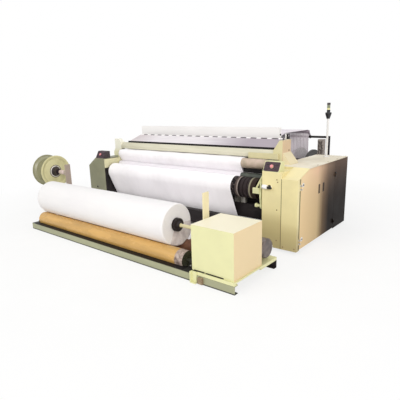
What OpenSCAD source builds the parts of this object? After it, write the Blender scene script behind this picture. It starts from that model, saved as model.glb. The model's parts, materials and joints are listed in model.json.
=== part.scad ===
// Weaving loom with a floor-standing batching winder in front of it, millimetres.
// Loom layout: X runs to the right along the weaving width, Y runs from the cabinets'
// front plane to the back, Z rises from the floor. place() moves that layout to the
// middle of the whole footprint.

/* [Loom] */
// Width over both cabinets
loom_w = 3600; // [3400:10:3900]
// Depth of the cabinets
cabinet_d = 1456; // [1440:2:1500]
// Height of the cabinets' lower edge above the floor
sill_z = 30; // [20:1:45]
// Thickness of the folded sheet covers
sheet_t = 3; // [2:0.5:5]
// Width of the left cabinet
left_w = 395; // [370:1:420]
// Height of the left cabinet
left_h = 850; // [845:1:880]
// Depth of the left cabinet
left_d = 1230; // [1150:1:1235]
// Width of the bevel on the left cabinet's outer top edge
left_bevel_w = 180; // [100:1:240]
// Height of the bevel on the left cabinet's outer top edge
left_bevel_h = 126; // [60:1:180]
// Width of the right cabinet
right_w = 424; // [410:1:450]
// Height of the right cabinet
right_h = 905; // [890:1:930]
// Drop from the right cabinet's top to the fold where its front cover starts to slope
fold_drop = 90; // [65:1:145]
// Depth of the sloping part of the right front cover
slope_d = 277; // [200:1:320]
// Width of the inner column cover
column_w = 235; // [220:1:250]
// Drop from the right cabinet's top to the top of the inner column cover
column_drop = 25; // [15:1:35]
// Depth of the inner column cover
column_d = 60; // [40:1:70]
// Width of the toe notch at the foot of the column cover
notch_w = 139; // [100:1:160]
// Height of the toe notch above the column cover's lower edge
notch_h = 73; // [50:1:100]
// Thickness of the cast side frames
side_t = 40; // [30:1:45]
// Height of the side frames' inner pads, which carry the heald guides and the rear beam
side_h = 840; // [830:1:842]
// Distance from the cabinets' back to the back of the side frames
side_back = 16; // [10:1:30]
// Radius of the levelling feet
foot_r = 45; // [30:1:60]

/* [Doors] */
// Depth of the front cover's side strip, where the front door starts
strip_d = 73; // [60:1:90]
// Width of the front door
front_door_w = 544; // [500:1:560]
// Width of the rear door
rear_door_w = 413; // [380:1:440]
// Depth of the door pans
door_t = 26; // [20:1:35]
// Gap around the doors
door_gap = 3; // [2:0.5:5]
// Radius of the hinge knuckles
hinge_r = 9; // [8:0.5:12]
// Radius of the hinge pins
pin_r = 4; // [3:0.5:5]
// Height of the lower hinge
hinge_low_z = 129; // [110:1:200]
// Height of the upper hinge
hinge_high_z = 729; // [650:1:760]
// Height of the finger slots
slot_z = 632; // [560:1:680]
// Length of the finger slots
slot_len = 85; // [60:1:110]
// Width of the finger slots
slot_w = 15; // [10:1:20]
// Distance from the doors' meeting edge to the finger slots
slot_off = 61; // [45:1:80]

/* [Controls] */
// Width of the control boxes
panel_w = 196; // [180:1:210]
// Height of the control boxes' sloping face
panel_h = 120; // [100:1:140]
// Lean of the control boxes' face from upright
panel_lean = 30; // [20:1:40]
// Depth of the control boxes at the top
panel_top_d = 70; // [50:1:90]
// Radius of a stop button's head
button_r = 20; // [16:0.5:25]
// Radius of a stop button's stem
stem_r = 8; // [6:0.5:10]
// Height of a stop button's head above the panel at rest
button_lift = 10; // [9:0.5:14]
// Length of the release lever's arm
lever_len = 95; // [80:1:110]
// Height of the release lever's pivot
lever_z = 716; // [690:1:740]
// Height of the signal lamp's top
tower_top = 1588; // [1560:1:1650]
// Radius of the signal tower's pole
pole_r = 13; // [10:0.5:16]

/* [Cloth take-up] */
// Width of the cloth
cloth_w = 2294; // [2200:1:2300]
// Distance from the cloth's right edge to the right side frame
cloth_inset = 459; // [455:1:480]
// Thickness of the cloth's solid
cloth_t = 2; // [1.5:0.1:3]
// Clearance between the cloth or the yarn and a roller
cloth_gap = 0.6; // [0.5:0.05:0.8]
// Distance from the cabinets' front to the breast beam's axis
breast_y = 330; // [325:1:345]
// Height of the breast beam's axis
breast_z = 900; // [890:1:905]
// Radius of the breast beam
breast_r = 60; // [55:1:62]
// Distance from the cabinets' front to the take-up roller's axis
take_up_y = 170; // [165:1:180]
// Height of the take-up roller's axis
take_up_z = 640; // [630:1:650]
// Radius of the take-up roller
take_up_r = 122; // [115:1:124]
// Radius of the press roller
press_r = 44; // [38:1:48]
// Angle of the press roller above level, behind the take-up roller
press_angle = 38; // [30:1:45]
// Radius of the rollers' journals in the side frames
journal_r = 25; // [20:1:28]
// Radial running clearance of journals, pins and stems
run_fit = 0.05; // [0.02:0.01:0.08]
// Distance from the rollers' ends to the right side frame
roller_end = 126; // [100:1:140]
// Distance from the cabinets' front to the floor guide roller's axis
floor_y = 240; // [230:1:260]
// Height of the floor guide roller's axis
floor_z = 78; // [74:1:90]
// Radius of the floor guide roller
floor_r = 38; // [34:1:40]

/* [Shed] */
// Distance from the cabinets' front to the fell, where yarn becomes cloth
fell_y = 524; // [515:1:530]
// Distance from the cabinets' front to the first heald frame
heald_y = 815; // [805:1:830]
// Pitch of the heald frames
heald_pitch = 40; // [30:1:50]
// Thickness of a heald frame
heald_t = 16; // [12:1:20]
// Height of a heald frame's top
heald_top = 1300; // [1285:1:1320]
// Height of a heald frame's rails
heald_rail_h = 132; // [110:1:135]
// Distance between a heald frame's rails
heald_gap = 255; // [250:1:280]
// Spacing of the yarn bands
dent_pitch = 96; // [90:1:110]
// Width of the middle stays of the heald frames and the reed
stay_w = 5; // [4:0.5:5]
// Width of the gap between two yarn bands
band_gap = 7; // [6:0.5:9]
// Distance from the cabinets' front to the sley's rocking shaft
sley_y = 620; // [610:1:630]
// Height of the sley's rocking shaft
sley_z = 420; // [400:1:440]

/* [Warp] */
// Distance from the cabinets' front to the warp beam's axis
beam_y = 1870; // [1866:1:1890]
// Height of the warp beam's axis
beam_z = 560; // [540:1:580]
// Radius of the yarn on the warp beam
yarn_r = 320; // [250:1:325]
// Radius of the warp beam's flanges
flange_r = 385; // [340:1:390]
// Radius of the warp beam's barrel
barrel_r = 90; // [80:1:110]
// Distance from the cabinets' front to the back-rest roller's axis
rest_y = 2160; // [2150:1:2165]
// Height of the back-rest roller's axis
rest_z = 1164; // [1155:1:1170]
// Radius of the back-rest roller
rest_r = 24; // [20:1:26]
// Distance from the cabinets' front to the warp guide roller's axis
guide_y = 1405; // [1400:1:1415]
// Radius of the warp guide roller
guide_r = 35; // [30:1:40]

/* [Winder] */
// Distance from the winder frame's right end to the loom's right side
winder_inset = 14; // [5:1:40]
// Length of the winder's frame
winder_l = 3386; // [3350:1:3420]
// Distance from the cabinets' front to the winder's front edge
winder_front = 1148; // [1130:1:1170]
// Depth of the winder's frame
winder_d = 741; // [730:1:760]
// Height of the winder's rails
rail_h = 80; // [70:1:84]
// Width of the winder's rails
rail_w = 50; // [40:1:55]
// Wall of the winder's rails
rail_t = 6; // [4:0.5:8]
// Radius of the winder's rollers
roller_r = 93; // [88:1:96]
// Height of the winder's rollers' axes
roller_z = 121; // [118:1:125]
// Distance between the winder's rollers' axes
roller_span = 290; // [285:1:310]
// Distance from the winder's front edge to the cloth roll's axis
roll_off = 300; // [295:1:310]
// Gap between the winder rollers' right ends and the middle member
roller_gap = 56; // [40:1:90]
// Radius of the cloth roll
roll_r = 223; // [180:1:235]
// Radius of the cloth roll's core tube
core_r = 70; // [55:1:80]
// Radius of the cloth roll's shaft
shaft_r = 18; // [15:0.5:20]
// Width of the guide posts
post_w = 86; // [75:1:95]
// Thickness of the guide posts
post_t = 12; // [10:1:16]
// Height of the right guide post's top
post_top = 788; // [740:1:830]
// Width of the drive box
box_w = 470; // [450:1:480]
// Depth of the drive box
box_d = 460; // [450:1:465]
// Height of the drive box
box_h = 438; // [400:1:460]
// Height of the base angles under the drive box
base_h = 32; // [28:1:36]
// Radius of the sprockets
sprocket_r = 46; // [42:1:48]
// Radius of the gear motor
motor_r = 98; // [85:1:105]
// Height of the gear motor's axis
motor_z = 240; // [230:1:260]

/* [Reel] */
// Distance from the cabinets' front to the reel's axis
reel_y = 525; // [515:1:530]
// Height of the reel's axis
reel_z = 690; // [670:1:720]
// Radius of the reel's flanges
reel_r = 238; // [200:1:245]
// Width of the reel over its flanges
reel_w = 262; // [200:1:300]
// Distance from the reel's post to its near flange
reel_gap = 306; // [280:1:330]
// Height of the reel post's top
reel_post_top = 815; // [780:1:840]

/* [Hidden] */

cream = "#e6dfa6";
grey_green = "#9b9c80";
dark = "#2b2728";
steel = "#b9b4b8";
white = "#f2f0f2";

// Smoothness of round faces
$fn = 64;
// Small overlap that lets a cut pass a face
cut = 1;
// Flat running clearance between a moving piece and its neighbour
slide_gap = 0.4;

// Loom side positions
right_x = loom_w / 2;
left_x = -loom_w / 2;
right_in = right_x - right_w;
left_in = left_x + left_w;
column_x1 = right_in + column_w;
column_h = right_h - column_drop;
fold_z = right_h - fold_drop;
side_y0 = column_d;
side_y1 = cabinet_d - side_back;
left_head = 10;
right_head = 65;
left_frame_top = left_h - left_head;
right_frame_top = right_h - right_head;
cloth_x1 = right_in - cloth_inset;
cloth_x0 = cloth_x1 - cloth_w;
lug_left_t = 18;
lug_right_t = 30;
roller_x0 = left_in + lug_left_t + 4;
roller_x1 = right_in - roller_end;

// Take-up train
nip_room = 0.4;
press_d = take_up_r + press_r + cloth_t + 2 * cloth_gap + nip_room;
press_y = take_up_y + press_d * cos(press_angle);
press_z = take_up_z + press_d * sin(press_angle);
press_journal_r = 15;
floor_journal_r = 15;

// Doors
door_z0 = sill_z + 12;
door_z1 = right_h - 10;
front_door_y0 = strip_d;
front_door_y1 = strip_d + front_door_w;
rear_door_y1 = front_door_y1 + rear_door_w;
hinge_x = right_x + hinge_r + slide_gap;
hinge_len = 54;
knuckle_len = 20;

// Warp line
fell_z = breast_z + breast_r + cloth_gap + cloth_t / 2;
guide_z = rest_z + rest_r - guide_r;
warp_slope = (guide_z + guide_r - fell_z) / (guide_y - fell_y);
warp_over = 9;
warp_x0 = cloth_x0 - warp_over;
warp_x1 = cloth_x1 + warp_over;
bands = floor((warp_x1 - warp_x0) / dent_pitch);
band_w = (warp_x1 - warp_x0 - (bands - 1) * band_gap) / bands;
band_step = band_w + band_gap;
function gap_x(i) = warp_x0 + i * band_step - band_gap / 2;
function warp_z(y) = fell_z + (y - fell_y) * warp_slope;

// Heald frames
heald_x0 = left_in + 4;
heald_right = 214;
heald_x1 = warp_x1 + heald_right;
stays = 3;
function stay_x(k) = gap_x(round(bands * k / (stays + 1)));
heald_low = heald_top - 2 * heald_rail_h - heald_gap;
heald_leg = 100;
heald_guide_h = 200;
heald_guide_z = side_h - heald_guide_h;

// Rear stands
stand_t = 60;
stand_right_x = right_in - stand_t;
stand_left_x = left_in - side_t - stand_t;
arm_h = 160;
rest_journal_r = 10;
rest_over = 8;
rest_x0 = warp_x0 - rest_over;
rest_x1 = warp_x1 + rest_over;
rocker_t = 14;
rocker_x0 = rest_x0 - slide_gap - rocker_t;
rocker_x1 = rest_x1 + slide_gap;
tie_r = 17;
tie_back = 38;
tie_drop = 86;
tie_y = rest_y + rest_r + tie_back;
tie_z = rest_z - tie_drop;
tie_post_w = 24;
tie_post_in = 140;
tie_post_x = right_in - tie_post_in;
beam_journal_r = 38;
beam_flange_t = 30;

// Winder
winder_x1 = right_x - winder_inset;
winder_x0 = winder_x1 - winder_l;
winder_y0 = -winder_front;
winder_y1 = winder_y0 + winder_d;
roll_y = winder_y0 + roll_off;
front_roller_y = roll_y - roller_span / 2;
rear_roller_y = roll_y + roller_span / 2;
contact_gap = 0.4;
roll_lift = sqrt(pow(roll_r + roller_r + contact_gap, 2) - pow(roller_span / 2, 2));
roll_z = roller_z + roll_lift;
left_member_w = 60;
mid_member_w = 110;
box_x1 = winder_x1 - 16;
box_x0 = box_x1 - box_w;
box_y0 = winder_y0 + 18;
box_y1 = box_y0 + box_d;
mid_member_x1 = box_x0 - 4;
mid_member_x0 = mid_member_x1 - mid_member_w;
winder_roller_x0 = winder_x0 + left_member_w + 20;
winder_roller_x1 = mid_member_x0 - roller_gap;
block_w = 36;
left_block_x = winder_x0 + 12;
right_block_x = mid_member_x0 + 4;
guide_post_x = mid_member_x1 - post_t - 36;
left_post_x = winder_x0 + 20;
roll_x0 = winder_x0 + 60;
roll_bare = 254;
roll_x1 = winder_roller_x1 - roll_bare;
core_x0 = left_post_x + post_t + 6;
core_x1 = roll_x1 + 20;
sprocket_x = box_x0 + 60;
sprocket_w = 14;
motor_y = box_y1 + 20 + motor_r;
gearcase_x0 = box_x0 + 130;
motor_x1 = box_x1 - 2;
motor_shaft_r = 18;
chain_t = 10;
chain_gap = 0.5;

// Reel
reel_axis_y = -reel_y;
reel_post_x = winder_x0 + 8;
reel_flange_t = 10;
reel_x1 = reel_post_x - reel_gap;
reel_x0 = reel_x1 - reel_w;
reel_shaft_r = 20;
reel_end = 10;

// Middle of the footprint
anchor_t = 30;
layout_x0 = reel_x0 - reel_end;
layout_x1 = hinge_x + hinge_r;
layout_y0 = winder_y0 - anchor_t;
layout_y1 = beam_y + flange_r;
layout_mid = [(layout_x0 + layout_x1) / 2, (layout_y0 + layout_y1) / 2, 0];

module place() {
    translate(-layout_mid) children();
}

// Box from its two corners
module block(p, q) {
    translate(p) cube(q - p);
}

// Round bar along X
module rod_x(x0, x1, y, z, r) {
    translate([x0, y, z]) rotate([0, 90, 0]) cylinder(h = x1 - x0, r = r);
}

// Profile in Y and Z carried along X
module along_x(x0, x1) {
    translate([x0, 0, 0]) rotate([90, 0, 90]) linear_extrude(x1 - x0) children();
}

// Profile in X and Z carried along Y
module along_y(y0, y1) {
    translate([0, y1, 0]) rotate([90, 0, 0]) linear_extrude(y1 - y0) children();
}

// Piece turned about an X axis from pairs of place along the axis and radius
module turned_x(y, z, stations) {
    first = stations[0];
    last = stations[len(stations) - 1];
    outline = [[0, first[0]], for (s = stations) [s[1], s[0]], [0, last[0]]];
    translate([0, y, z]) rotate([0, 90, 0]) rotate_extrude($fn = 96) polygon(outline);
}

// A web round rollers: each roller is [y, z, radius, side], with side 1 where the
// roller lies on the left of the running web and -1 on the right
function web_dir(a, b) =
    let (dy = b[0] - a[0], dz = b[1] - a[1], l = norm([dy, dz]))
    atan2(dz, dy) - asin((b[3] * b[2] - a[3] * a[2]) / l);
function web_left(dir) = [-sin(dir), cos(dir)];
function web_turn(side, d0, d1) =
    let (raw = side * (d1 - d0))
    raw - 360 * floor(raw / 360 + 1e-9);
web_step = 6;
function web_arc(c, d0, d1) =
    let (turn = web_turn(c[3], d0, d1), n = max(1, ceil(turn / web_step)))
    [for (k = [0 : n]) d0 + c[3] * turn * k / n];
// Directions along the web at every point, with the roller that each point lies on
function web_points(rollers, start_dir, end_dir) =
    let (n = len(rollers))
    [for (i = [0 : n - 1])
        let (d0 = i == 0 ? start_dir : web_dir(rollers[i - 1], rollers[i]))
        let (d1 = i == n - 1 ? end_dir : web_dir(rollers[i], rollers[i + 1]))
        let (dirs = rollers[i][2] == 0 ? [i == 0 ? d1 : d0] : web_arc(rollers[i], d0, d1))
        for (d = dirs) [rollers[i], d]];
function web_side(points, shift) =
    [for (p = points)
        let (c = p[0], n = web_left(p[1]))
        [c[0], c[1]] + n * (shift - c[3] * c[2])];

module web_profile(rollers, start_dir, end_dir, t) {
    points = web_points(rollers, start_dir, end_dir);
    upper = web_side(points, t / 2);
    lower = web_side(points, -t / 2);
    count = len(lower);
    polygon([for (p = upper) p, for (i = [count - 1 : -1 : 0]) lower[i]]);
}

function web_roller(y, z, r, side, t) = [y, z, r + cloth_gap + t / 2, side];

// Cast side frame with its bearings, as a plate from x0 and y0 up to top
module side_plate(x0, y0, top) {
    difference() {
        block([x0, y0, sill_z], [x0 + side_t, side_y1, top]);
        for (b = side_bores) rod_x(x0 - cut, x0 + side_t + cut, b[0], b[1], b[2] + run_fit);
    }
}

// Lug on a side frame's inner face that holds the ends of the breast beam and press roller
module beam_lug(x0, x1) {
    half_w = 44;
    below = 80;
    difference() {
        along_x(x0, x1)
            polygon([[press_y - half_w, press_z - below], [press_y + half_w, press_z - below],
                [breast_y + half_w, breast_z - half_w], [breast_y + half_w, breast_z + half_w],
                [breast_y - half_w, breast_z + half_w], [breast_y - half_w, breast_z - half_w]]);
        rod_x(x0 - cut, x1 + cut, breast_y, breast_z, journal_r + run_fit);
        rod_x(x0 - cut, x1 + cut, press_y, press_z, press_journal_r + run_fit);
    }
}
side_bores = [[take_up_y, take_up_z, journal_r], [press_y, press_z, press_journal_r],
    [floor_y, floor_z, floor_journal_r], [sley_y, sley_z, journal_r]];

// Slotted guide that a heald frame's end legs run in
module heald_guide(x0, x1, slot_x0, slot_x1) {
    margin = 24;
    difference() {
        block([x0, heald_y - margin, heald_guide_z],
            [x1, heald_y + heald_pitch + heald_t + margin, side_h]);
        for (i = [0, 1])
            block([slot_x0, heald_y + i * heald_pitch - slide_gap, heald_guide_z - cut],
                [slot_x1, heald_y + i * heald_pitch + heald_t + slide_gap, side_h + cut]);
    }
}
heald_engage = 15;

module side_frame_left() {
    color(dark) {
        side_plate(left_in - side_t, sheet_t, left_frame_top);
        beam_lug(left_in, left_in + lug_left_t);
        heald_guide(left_in, heald_x0 + heald_engage, heald_x0 - slide_gap,
            heald_x0 + heald_engage + cut);
    }
}

module side_frame_right() {
    color(dark) difference() {
        union() {
            side_plate(right_in, side_y0, right_frame_top);
            beam_lug(right_in - lug_right_t, right_in);
            heald_guide(heald_x1 - heald_engage, right_in,
                heald_x1 - heald_engage - cut, heald_x1 + slide_gap);
        }
        rod_x(right_in - cut, right_in + side_t + cut, shaft_y, shaft_z,
            main_shaft_r + run_fit);
    }
}

// Box-section beam across the foot of the loom
lower_beam_d = 80;
lower_beam_clear = 27;
lower_beam_y0 = floor_y - floor_r - lower_beam_clear - lower_beam_d;
lower_beam_z0 = 92;
lower_beam_h = 173;
module front_lower_beam() {
    wall = 8;
    color(dark) along_x(left_in, right_in) difference() {
        translate([lower_beam_y0, lower_beam_z0]) square([lower_beam_d, lower_beam_h]);
        translate([lower_beam_y0 + wall, lower_beam_z0 + wall])
            square([lower_beam_d - 2 * wall, lower_beam_h - 2 * wall]);
    }
}

// Beam across the back with the two uprights of the warp guide roller
upright_w = 22;
cross_d = 60;
cross_h = 80;
module rear_cross_beam() {
    guide_bore = guide_journal_r + run_fit;
    color(dark) difference() {
        union() {
            block([left_in, guide_y - cross_d / 2, side_h - cross_h],
                [right_in, guide_y + cross_d / 2, side_h]);
            for (u = [[left_in, guide_x0], [guide_x1, guide_x1 + upright_w]])
                block([u[0], guide_y - cross_d / 2, side_h - cut],
                    [u[1], guide_y + cross_d / 2, guide_z + guide_r * 0.6]);
        }
        rod_x(left_in, right_in, guide_y, guide_z, guide_bore);
    }
}
guide_journal_r = 14;
guide_x0 = warp_x0 - 2;
guide_x1 = warp_x1 + 30;

module levelling_feet() {
    inset = 120;
    stem = foot_r * 0.4;
    color(steel)
        for (x = [left_in - side_t / 2, right_in + side_t / 2])
            for (k = [0 : 3])
                translate([x, side_y0 + inset + k * (side_y1 - side_y0 - 2 * inset) / 3, 0]) {
                    cylinder(h = sill_z * 0.5, r = foot_r);
                    cylinder(h = sill_z, r = stem);
                }
}

// Trough under the shed, open at the top
module drip_tray() {
    y0 = 330;
    y1 = 500;
    z0 = 400;
    front_h = 110;
    back_h = 60;
    color(dark) along_x(left_in, right_in) difference() {
        polygon([[y0, z0 + front_h], [y0 + 30, z0], [y1 - 30, z0], [y1, z0 + back_h]]);
        polygon([[y0 + sheet_t, z0 + front_h + cut], [y0 + 30 + sheet_t, z0 + sheet_t],
            [y1 - 30 - sheet_t, z0 + sheet_t], [y1 - sheet_t, z0 + front_h + cut]]);
    }
}

// Left cabinet: a cover with a bevelled outer edge, open at the foot and the inner side
module left_outline(inset, open_side) {
    polygon([[left_x + inset, sill_z + open_side], [left_x + inset, left_h - left_bevel_h],
        [left_x + left_bevel_w + inset * 0.4, left_h - inset],
        [left_in - open_side, left_h - inset], [left_in - open_side, sill_z + open_side]]);
}
module left_cabinet() {
    color(grey_green) difference() {
        along_y(0, left_d) left_outline(0, 0);
        along_y(sheet_t, left_d - sheet_t) left_outline(sheet_t, -cut);
        block([left_in - side_t, sheet_t, sill_z - cut],
            [left_in + cut, left_d + cut, left_h - sheet_t]);
    }
}

// Frame of a control box: local Z leaves the sloping face, local Y climbs it
module on_panel(x, z) {
    translate([x, panel_y0, z]) rotate([90 - panel_lean, 0, 0]) children();
}
panel_y0 = 6;
panel_wall = 4;
button_h = 14;
stem_len = 34;
button_up = panel_h * 0.5;
module control_box(x0, z0) {
    top_y = panel_y0 + panel_h * sin(panel_lean);
    top_z = z0 + panel_h * cos(panel_lean);
    module shape(inset) {
        polygon([[panel_y0 + inset * 1.2, z0 + inset], [top_y + inset * 0.6, top_z - inset],
            [top_y + panel_top_d - inset, top_z - inset],
            [top_y + panel_top_d - inset, z0 + inset]]);
    }
    difference() {
        along_x(x0, x0 + panel_w) shape(0);
        along_x(x0 + panel_wall, x0 + panel_w - panel_wall) shape(panel_wall);
        on_panel(x0 + panel_w / 2, z0) translate([0, button_up, -stem_len])
            cylinder(h = 2 * stem_len, r = stem_r + run_fit);
    }
}
module panel_button(x0, z0) {
    dome = 4;
    on_panel(x0 + panel_w / 2, z0) translate([0, button_up, 0]) rotate_extrude()
        polygon([[0, -stem_len * 0.7], [stem_r, -stem_len * 0.7], [stem_r, button_lift],
            [button_r - 2, button_lift], [button_r, button_lift + 3],
            [button_r * 0.8, button_lift + button_h - dome],
            [button_r * 0.4, button_lift + button_h], [0, button_lift + button_h]]);
}
left_panel_x = left_in - panel_w - 16;
right_panel_x = right_in;

module left_control_box() {
    color(dark) control_box(left_panel_x, left_h);
}

module left_stop_button() {
    color("#d98080") panel_button(left_panel_x, left_h);
}

module right_control_box() {
    color(cream) control_box(right_panel_x, column_h);
}

module right_stop_button() {
    color("#e88a8a") panel_button(right_panel_x, column_h);
}

// Floor pan of the right cabinet with the post behind the rear door
base_t = 20;
module right_base() {
    post_d = 40;
    color(grey_green) {
        block([right_in + side_t, column_d + slide_gap, sill_z],
            [right_x - door_t - 4, cabinet_d - sheet_t, sill_z + base_t]);
        block([right_x - door_t - 44, rear_door_y1 + 4, sill_z + base_t],
            [right_x - door_t - 4, rear_door_y1 + 4 + post_d, right_h - sheet_t]);
    }
}

// Folded column cover with a round-cornered toe notch
module column_cover() {
    corner = 30;
    web_lap = 12;
    web_y1 = slope_d * (fold_drop - column_drop + web_lap) / fold_drop;
    color(cream) difference() {
        union() {
            block([right_in, 0, sill_z], [column_x1, column_d, column_h]);
            block([right_in, 0, column_h - sheet_t], [column_x1, slope_d, column_h]);
            block([right_in, slope_d - sheet_t, column_h - sheet_t],
                [column_x1, slope_d, right_h]);
            along_x(column_x1 - sheet_t, column_x1)
                polygon([[column_d - cut, slope_z(column_d) - web_lap], [column_d - cut, column_h - cut],
                    [web_y1, column_h - cut]]);
        }
        block([right_in + sheet_t, sheet_t, sill_z - cut],
            [column_x1 - sheet_t, column_d + cut, column_h - sheet_t]);
        along_y(-cut, column_d + cut) {
            translate([right_in - cut, sill_z - cut])
                square([notch_w + cut - corner, notch_h + cut]);
            translate([right_in - cut, sill_z - cut])
                square([notch_w + cut, notch_h + cut - corner]);
            translate([right_in + notch_w - corner, sill_z + notch_h - corner]) circle(corner);
        }
        translate([lever_x, -cut, lever_z]) rotate([-90, 0, 0])
            cylinder(h = sheet_t + 2 * cut, r = pivot_r + run_fit);
    }
}
pivot_r = 12;
lever_x = right_in + 110;

// Front cover: upright wall, sloping top and two turned edges, folded from one sheet
function slope_z(y) = fold_z + (right_h - fold_z) * min(y, slope_d) / slope_d;
door_drop = right_h - door_z1;
edge_drop = door_drop - door_gap;
module front_cover() {
    edge_y = strip_d - door_gap;
    wall_drop = 85;
    wall_z = right_h - wall_drop;
    color(cream) {
        along_x(column_x1, right_x)
            polygon([[0, sill_z], [0, fold_z], [slope_d, right_h], [slope_d, right_h - sheet_t],
                [sheet_t, fold_z - sheet_t / 2], [sheet_t, sill_z]]);
        along_x(right_x - sheet_t, right_x)
            polygon([[0, sill_z], [0, fold_z], [slope_d, right_h], [slope_d, right_h - edge_drop],
                [edge_y, slope_z(edge_y) - edge_drop], [edge_y, sill_z]]);
        along_x(column_x1, column_x1 + sheet_t)
            polygon([[0, sill_z], [0, fold_z], [slope_d, right_h], [slope_d, wall_z],
                [column_d, wall_z], [column_d, sill_z]]);
    }
}

// Flat lid behind the slope with a turned-down edge along the doors
module top_cover() {
    color(cream) {
        block([right_in, slope_d, right_h - sheet_t], [right_x, cabinet_d, right_h]);
        block([right_x - sheet_t, slope_d, door_z1 + door_gap],
            [right_x, cabinet_d, right_h - sheet_t]);
    }
}

// Door pan between y0 and y1 under the cover's slope, hinged at hinge_y with its leaf
// running towards side, with a finger slot near its free edge
module door_outline(y0, y1, inset) {
    knee = y0 < slope_d ? [[slope_d + inset / 2, door_z1 - inset]] : [];
    polygon([[y0 + inset, door_z0 + inset],
        [y0 + inset, slope_z(y0 + inset) - door_drop - inset], each knee,
        [y1 - inset, door_z1 - inset], [y1 - inset, door_z0 + inset]]);
}
module door_pan(y0, y1, hinge_y, side, slot_y) {
    inner = right_x - door_t;
    leaf = 36;
    difference() {
        along_x(inner, right_x) door_outline(y0, y1, 0);
        along_x(inner - cut, right_x - sheet_t) door_outline(y0, y1, sheet_t);
        block([inner, slot_y - slot_w / 2, slot_z - slot_len / 2],
            [right_x + cut, slot_y + slot_w / 2, slot_z + slot_len / 2]);
    }
    for (z = [hinge_low_z, hinge_high_z]) difference() {
        union() {
            translate([hinge_x, hinge_y, z - knuckle_len / 2])
                cylinder(h = knuckle_len, r = hinge_r);
            block([right_x, min(hinge_y, hinge_y + side * leaf), z - knuckle_len / 2],
                [right_x + sheet_t, max(hinge_y, hinge_y + side * leaf), z + knuckle_len / 2]);
        }
        translate([hinge_x, hinge_y, z - knuckle_len])
            cylinder(h = 2 * knuckle_len, r = pin_r + run_fit);
    }
}

module front_door() {
    color("#d8bf98") door_pan(front_door_y0, front_door_y1 - door_gap / 2, front_door_y0, 1,
        front_door_y1 - slot_off);
}

module rear_door() {
    color("#5a463c") door_pan(front_door_y1 + door_gap / 2, rear_door_y1, rear_door_y1, -1,
        front_door_y1 + slot_off);
}

// Side and back wall of the cabinet's rear corner, folded from one sheet
module rear_side_panel() {
    y0 = rear_door_y1 + door_gap;
    color("#2f2424") difference() {
        block([right_in + side_t, y0, sill_z], [right_x, cabinet_d, door_z1 + door_gap]);
        block([right_in + side_t - cut, y0 - cut, sill_z - cut],
            [right_x - sheet_t, cabinet_d - sheet_t, right_h]);
    }
}

// Hinge pins with their two fixed knuckles and leaves
module hinge_pins() {
    leaf = 26;
    color(steel)
        for (h = [[front_door_y0, -1], [rear_door_y1, 1]], z = [hinge_low_z, hinge_high_z]) {
            translate([hinge_x, h[0], z - hinge_len / 2]) cylinder(h = hinge_len, r = pin_r);
            for (s = [-1, 1]) {
                z0 = s > 0 ? z + knuckle_len / 2 + slide_gap : z - hinge_len / 2;
                z1 = s > 0 ? z + hinge_len / 2 : z - knuckle_len / 2 - slide_gap;
                translate([hinge_x, h[0], z0]) difference() {
                    cylinder(h = z1 - z0, r = hinge_r);
                    translate([0, 0, -cut]) cylinder(h = z1 - z0 + 2 * cut, r = pin_r);
                }
                block([right_x, min(h[0], h[0] + h[1] * leaf), z0],
                    [right_x + sheet_t, max(h[0], h[0] + h[1] * leaf), z1]);
            }
        }
}

// Release lever: a white arm on a pivot with a three-lobed grip over it
module release_lever() {
    arm_y = 26;
    lobes = 3;
    color(white) {
        translate([lever_x, sheet_t + 6, lever_z]) rotate([90, 0, 0])
            cylinder(h = sheet_t + 6 + arm_y, r = pivot_r);
        translate([lever_x, -arm_y + 8, lever_z]) rotate([0, -90, 0])
            cylinder(h = lever_len, r = 11);
        translate([lever_x, -arm_y, lever_z]) rotate([90, 0, 0]) {
            cylinder(h = 18, r = 18);
            for (k = [0 : lobes - 1]) rotate([0, 0, 90 + k * 360 / lobes])
                translate([17, 0, 0]) cylinder(h = 18, r = 11);
        }
    }
}

// Main motor with cooling ribs, feet and terminal box, driving the main shaft directly
shaft_back = 336;
shaft_y = cabinet_d - shaft_back;
shaft_z = 330;
main_shaft_r = 20;
flywheel_r = 120;
flywheel_w = 30;
flywheel_gap = 4;
motor_gap = 60;
shaft_in = 70;
shaft_room = 10;
motor_body_r = 130;
motor_body_x0 = right_in + side_t + motor_gap;
motor_body_x1 = right_x - door_t - 56;
module main_motor() {
    ribs = 9;
    color("#6f7a74") difference() {
        union() {
            turned_x(shaft_y, shaft_z, [[motor_body_x0, motor_body_r],
                [motor_body_x1 - 30, motor_body_r], [motor_body_x1, motor_body_r * 0.8]]);
            for (k = [1 : ribs]) {
                x = motor_body_x0 + k * (motor_body_x1 - motor_body_x0) / (ribs + 2);
                rod_x(x, x + 6, shaft_y, shaft_z, motor_body_r + 12);
            }
            block([motor_body_x0 + 30, shaft_y - motor_body_r, sill_z + base_t],
                [motor_body_x1 - 60, shaft_y + motor_body_r, shaft_z - motor_body_r * 0.5]);
        }
        rod_x(motor_body_x0 - cut, motor_body_x0 + shaft_in + shaft_room, shaft_y, shaft_z,
            main_shaft_r + run_fit);
    }
}
flywheel_x0 = right_in + side_t + flywheel_gap;
module main_shaft() {
    color(steel) turned_x(shaft_y, shaft_z, [[right_in - 10, main_shaft_r],
        [flywheel_x0, main_shaft_r], [flywheel_x0, flywheel_r],
        [flywheel_x0 + flywheel_w, flywheel_r], [flywheel_x0 + flywheel_w, main_shaft_r],
        [motor_body_x0 + shaft_in, main_shaft_r]]);
}

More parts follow.
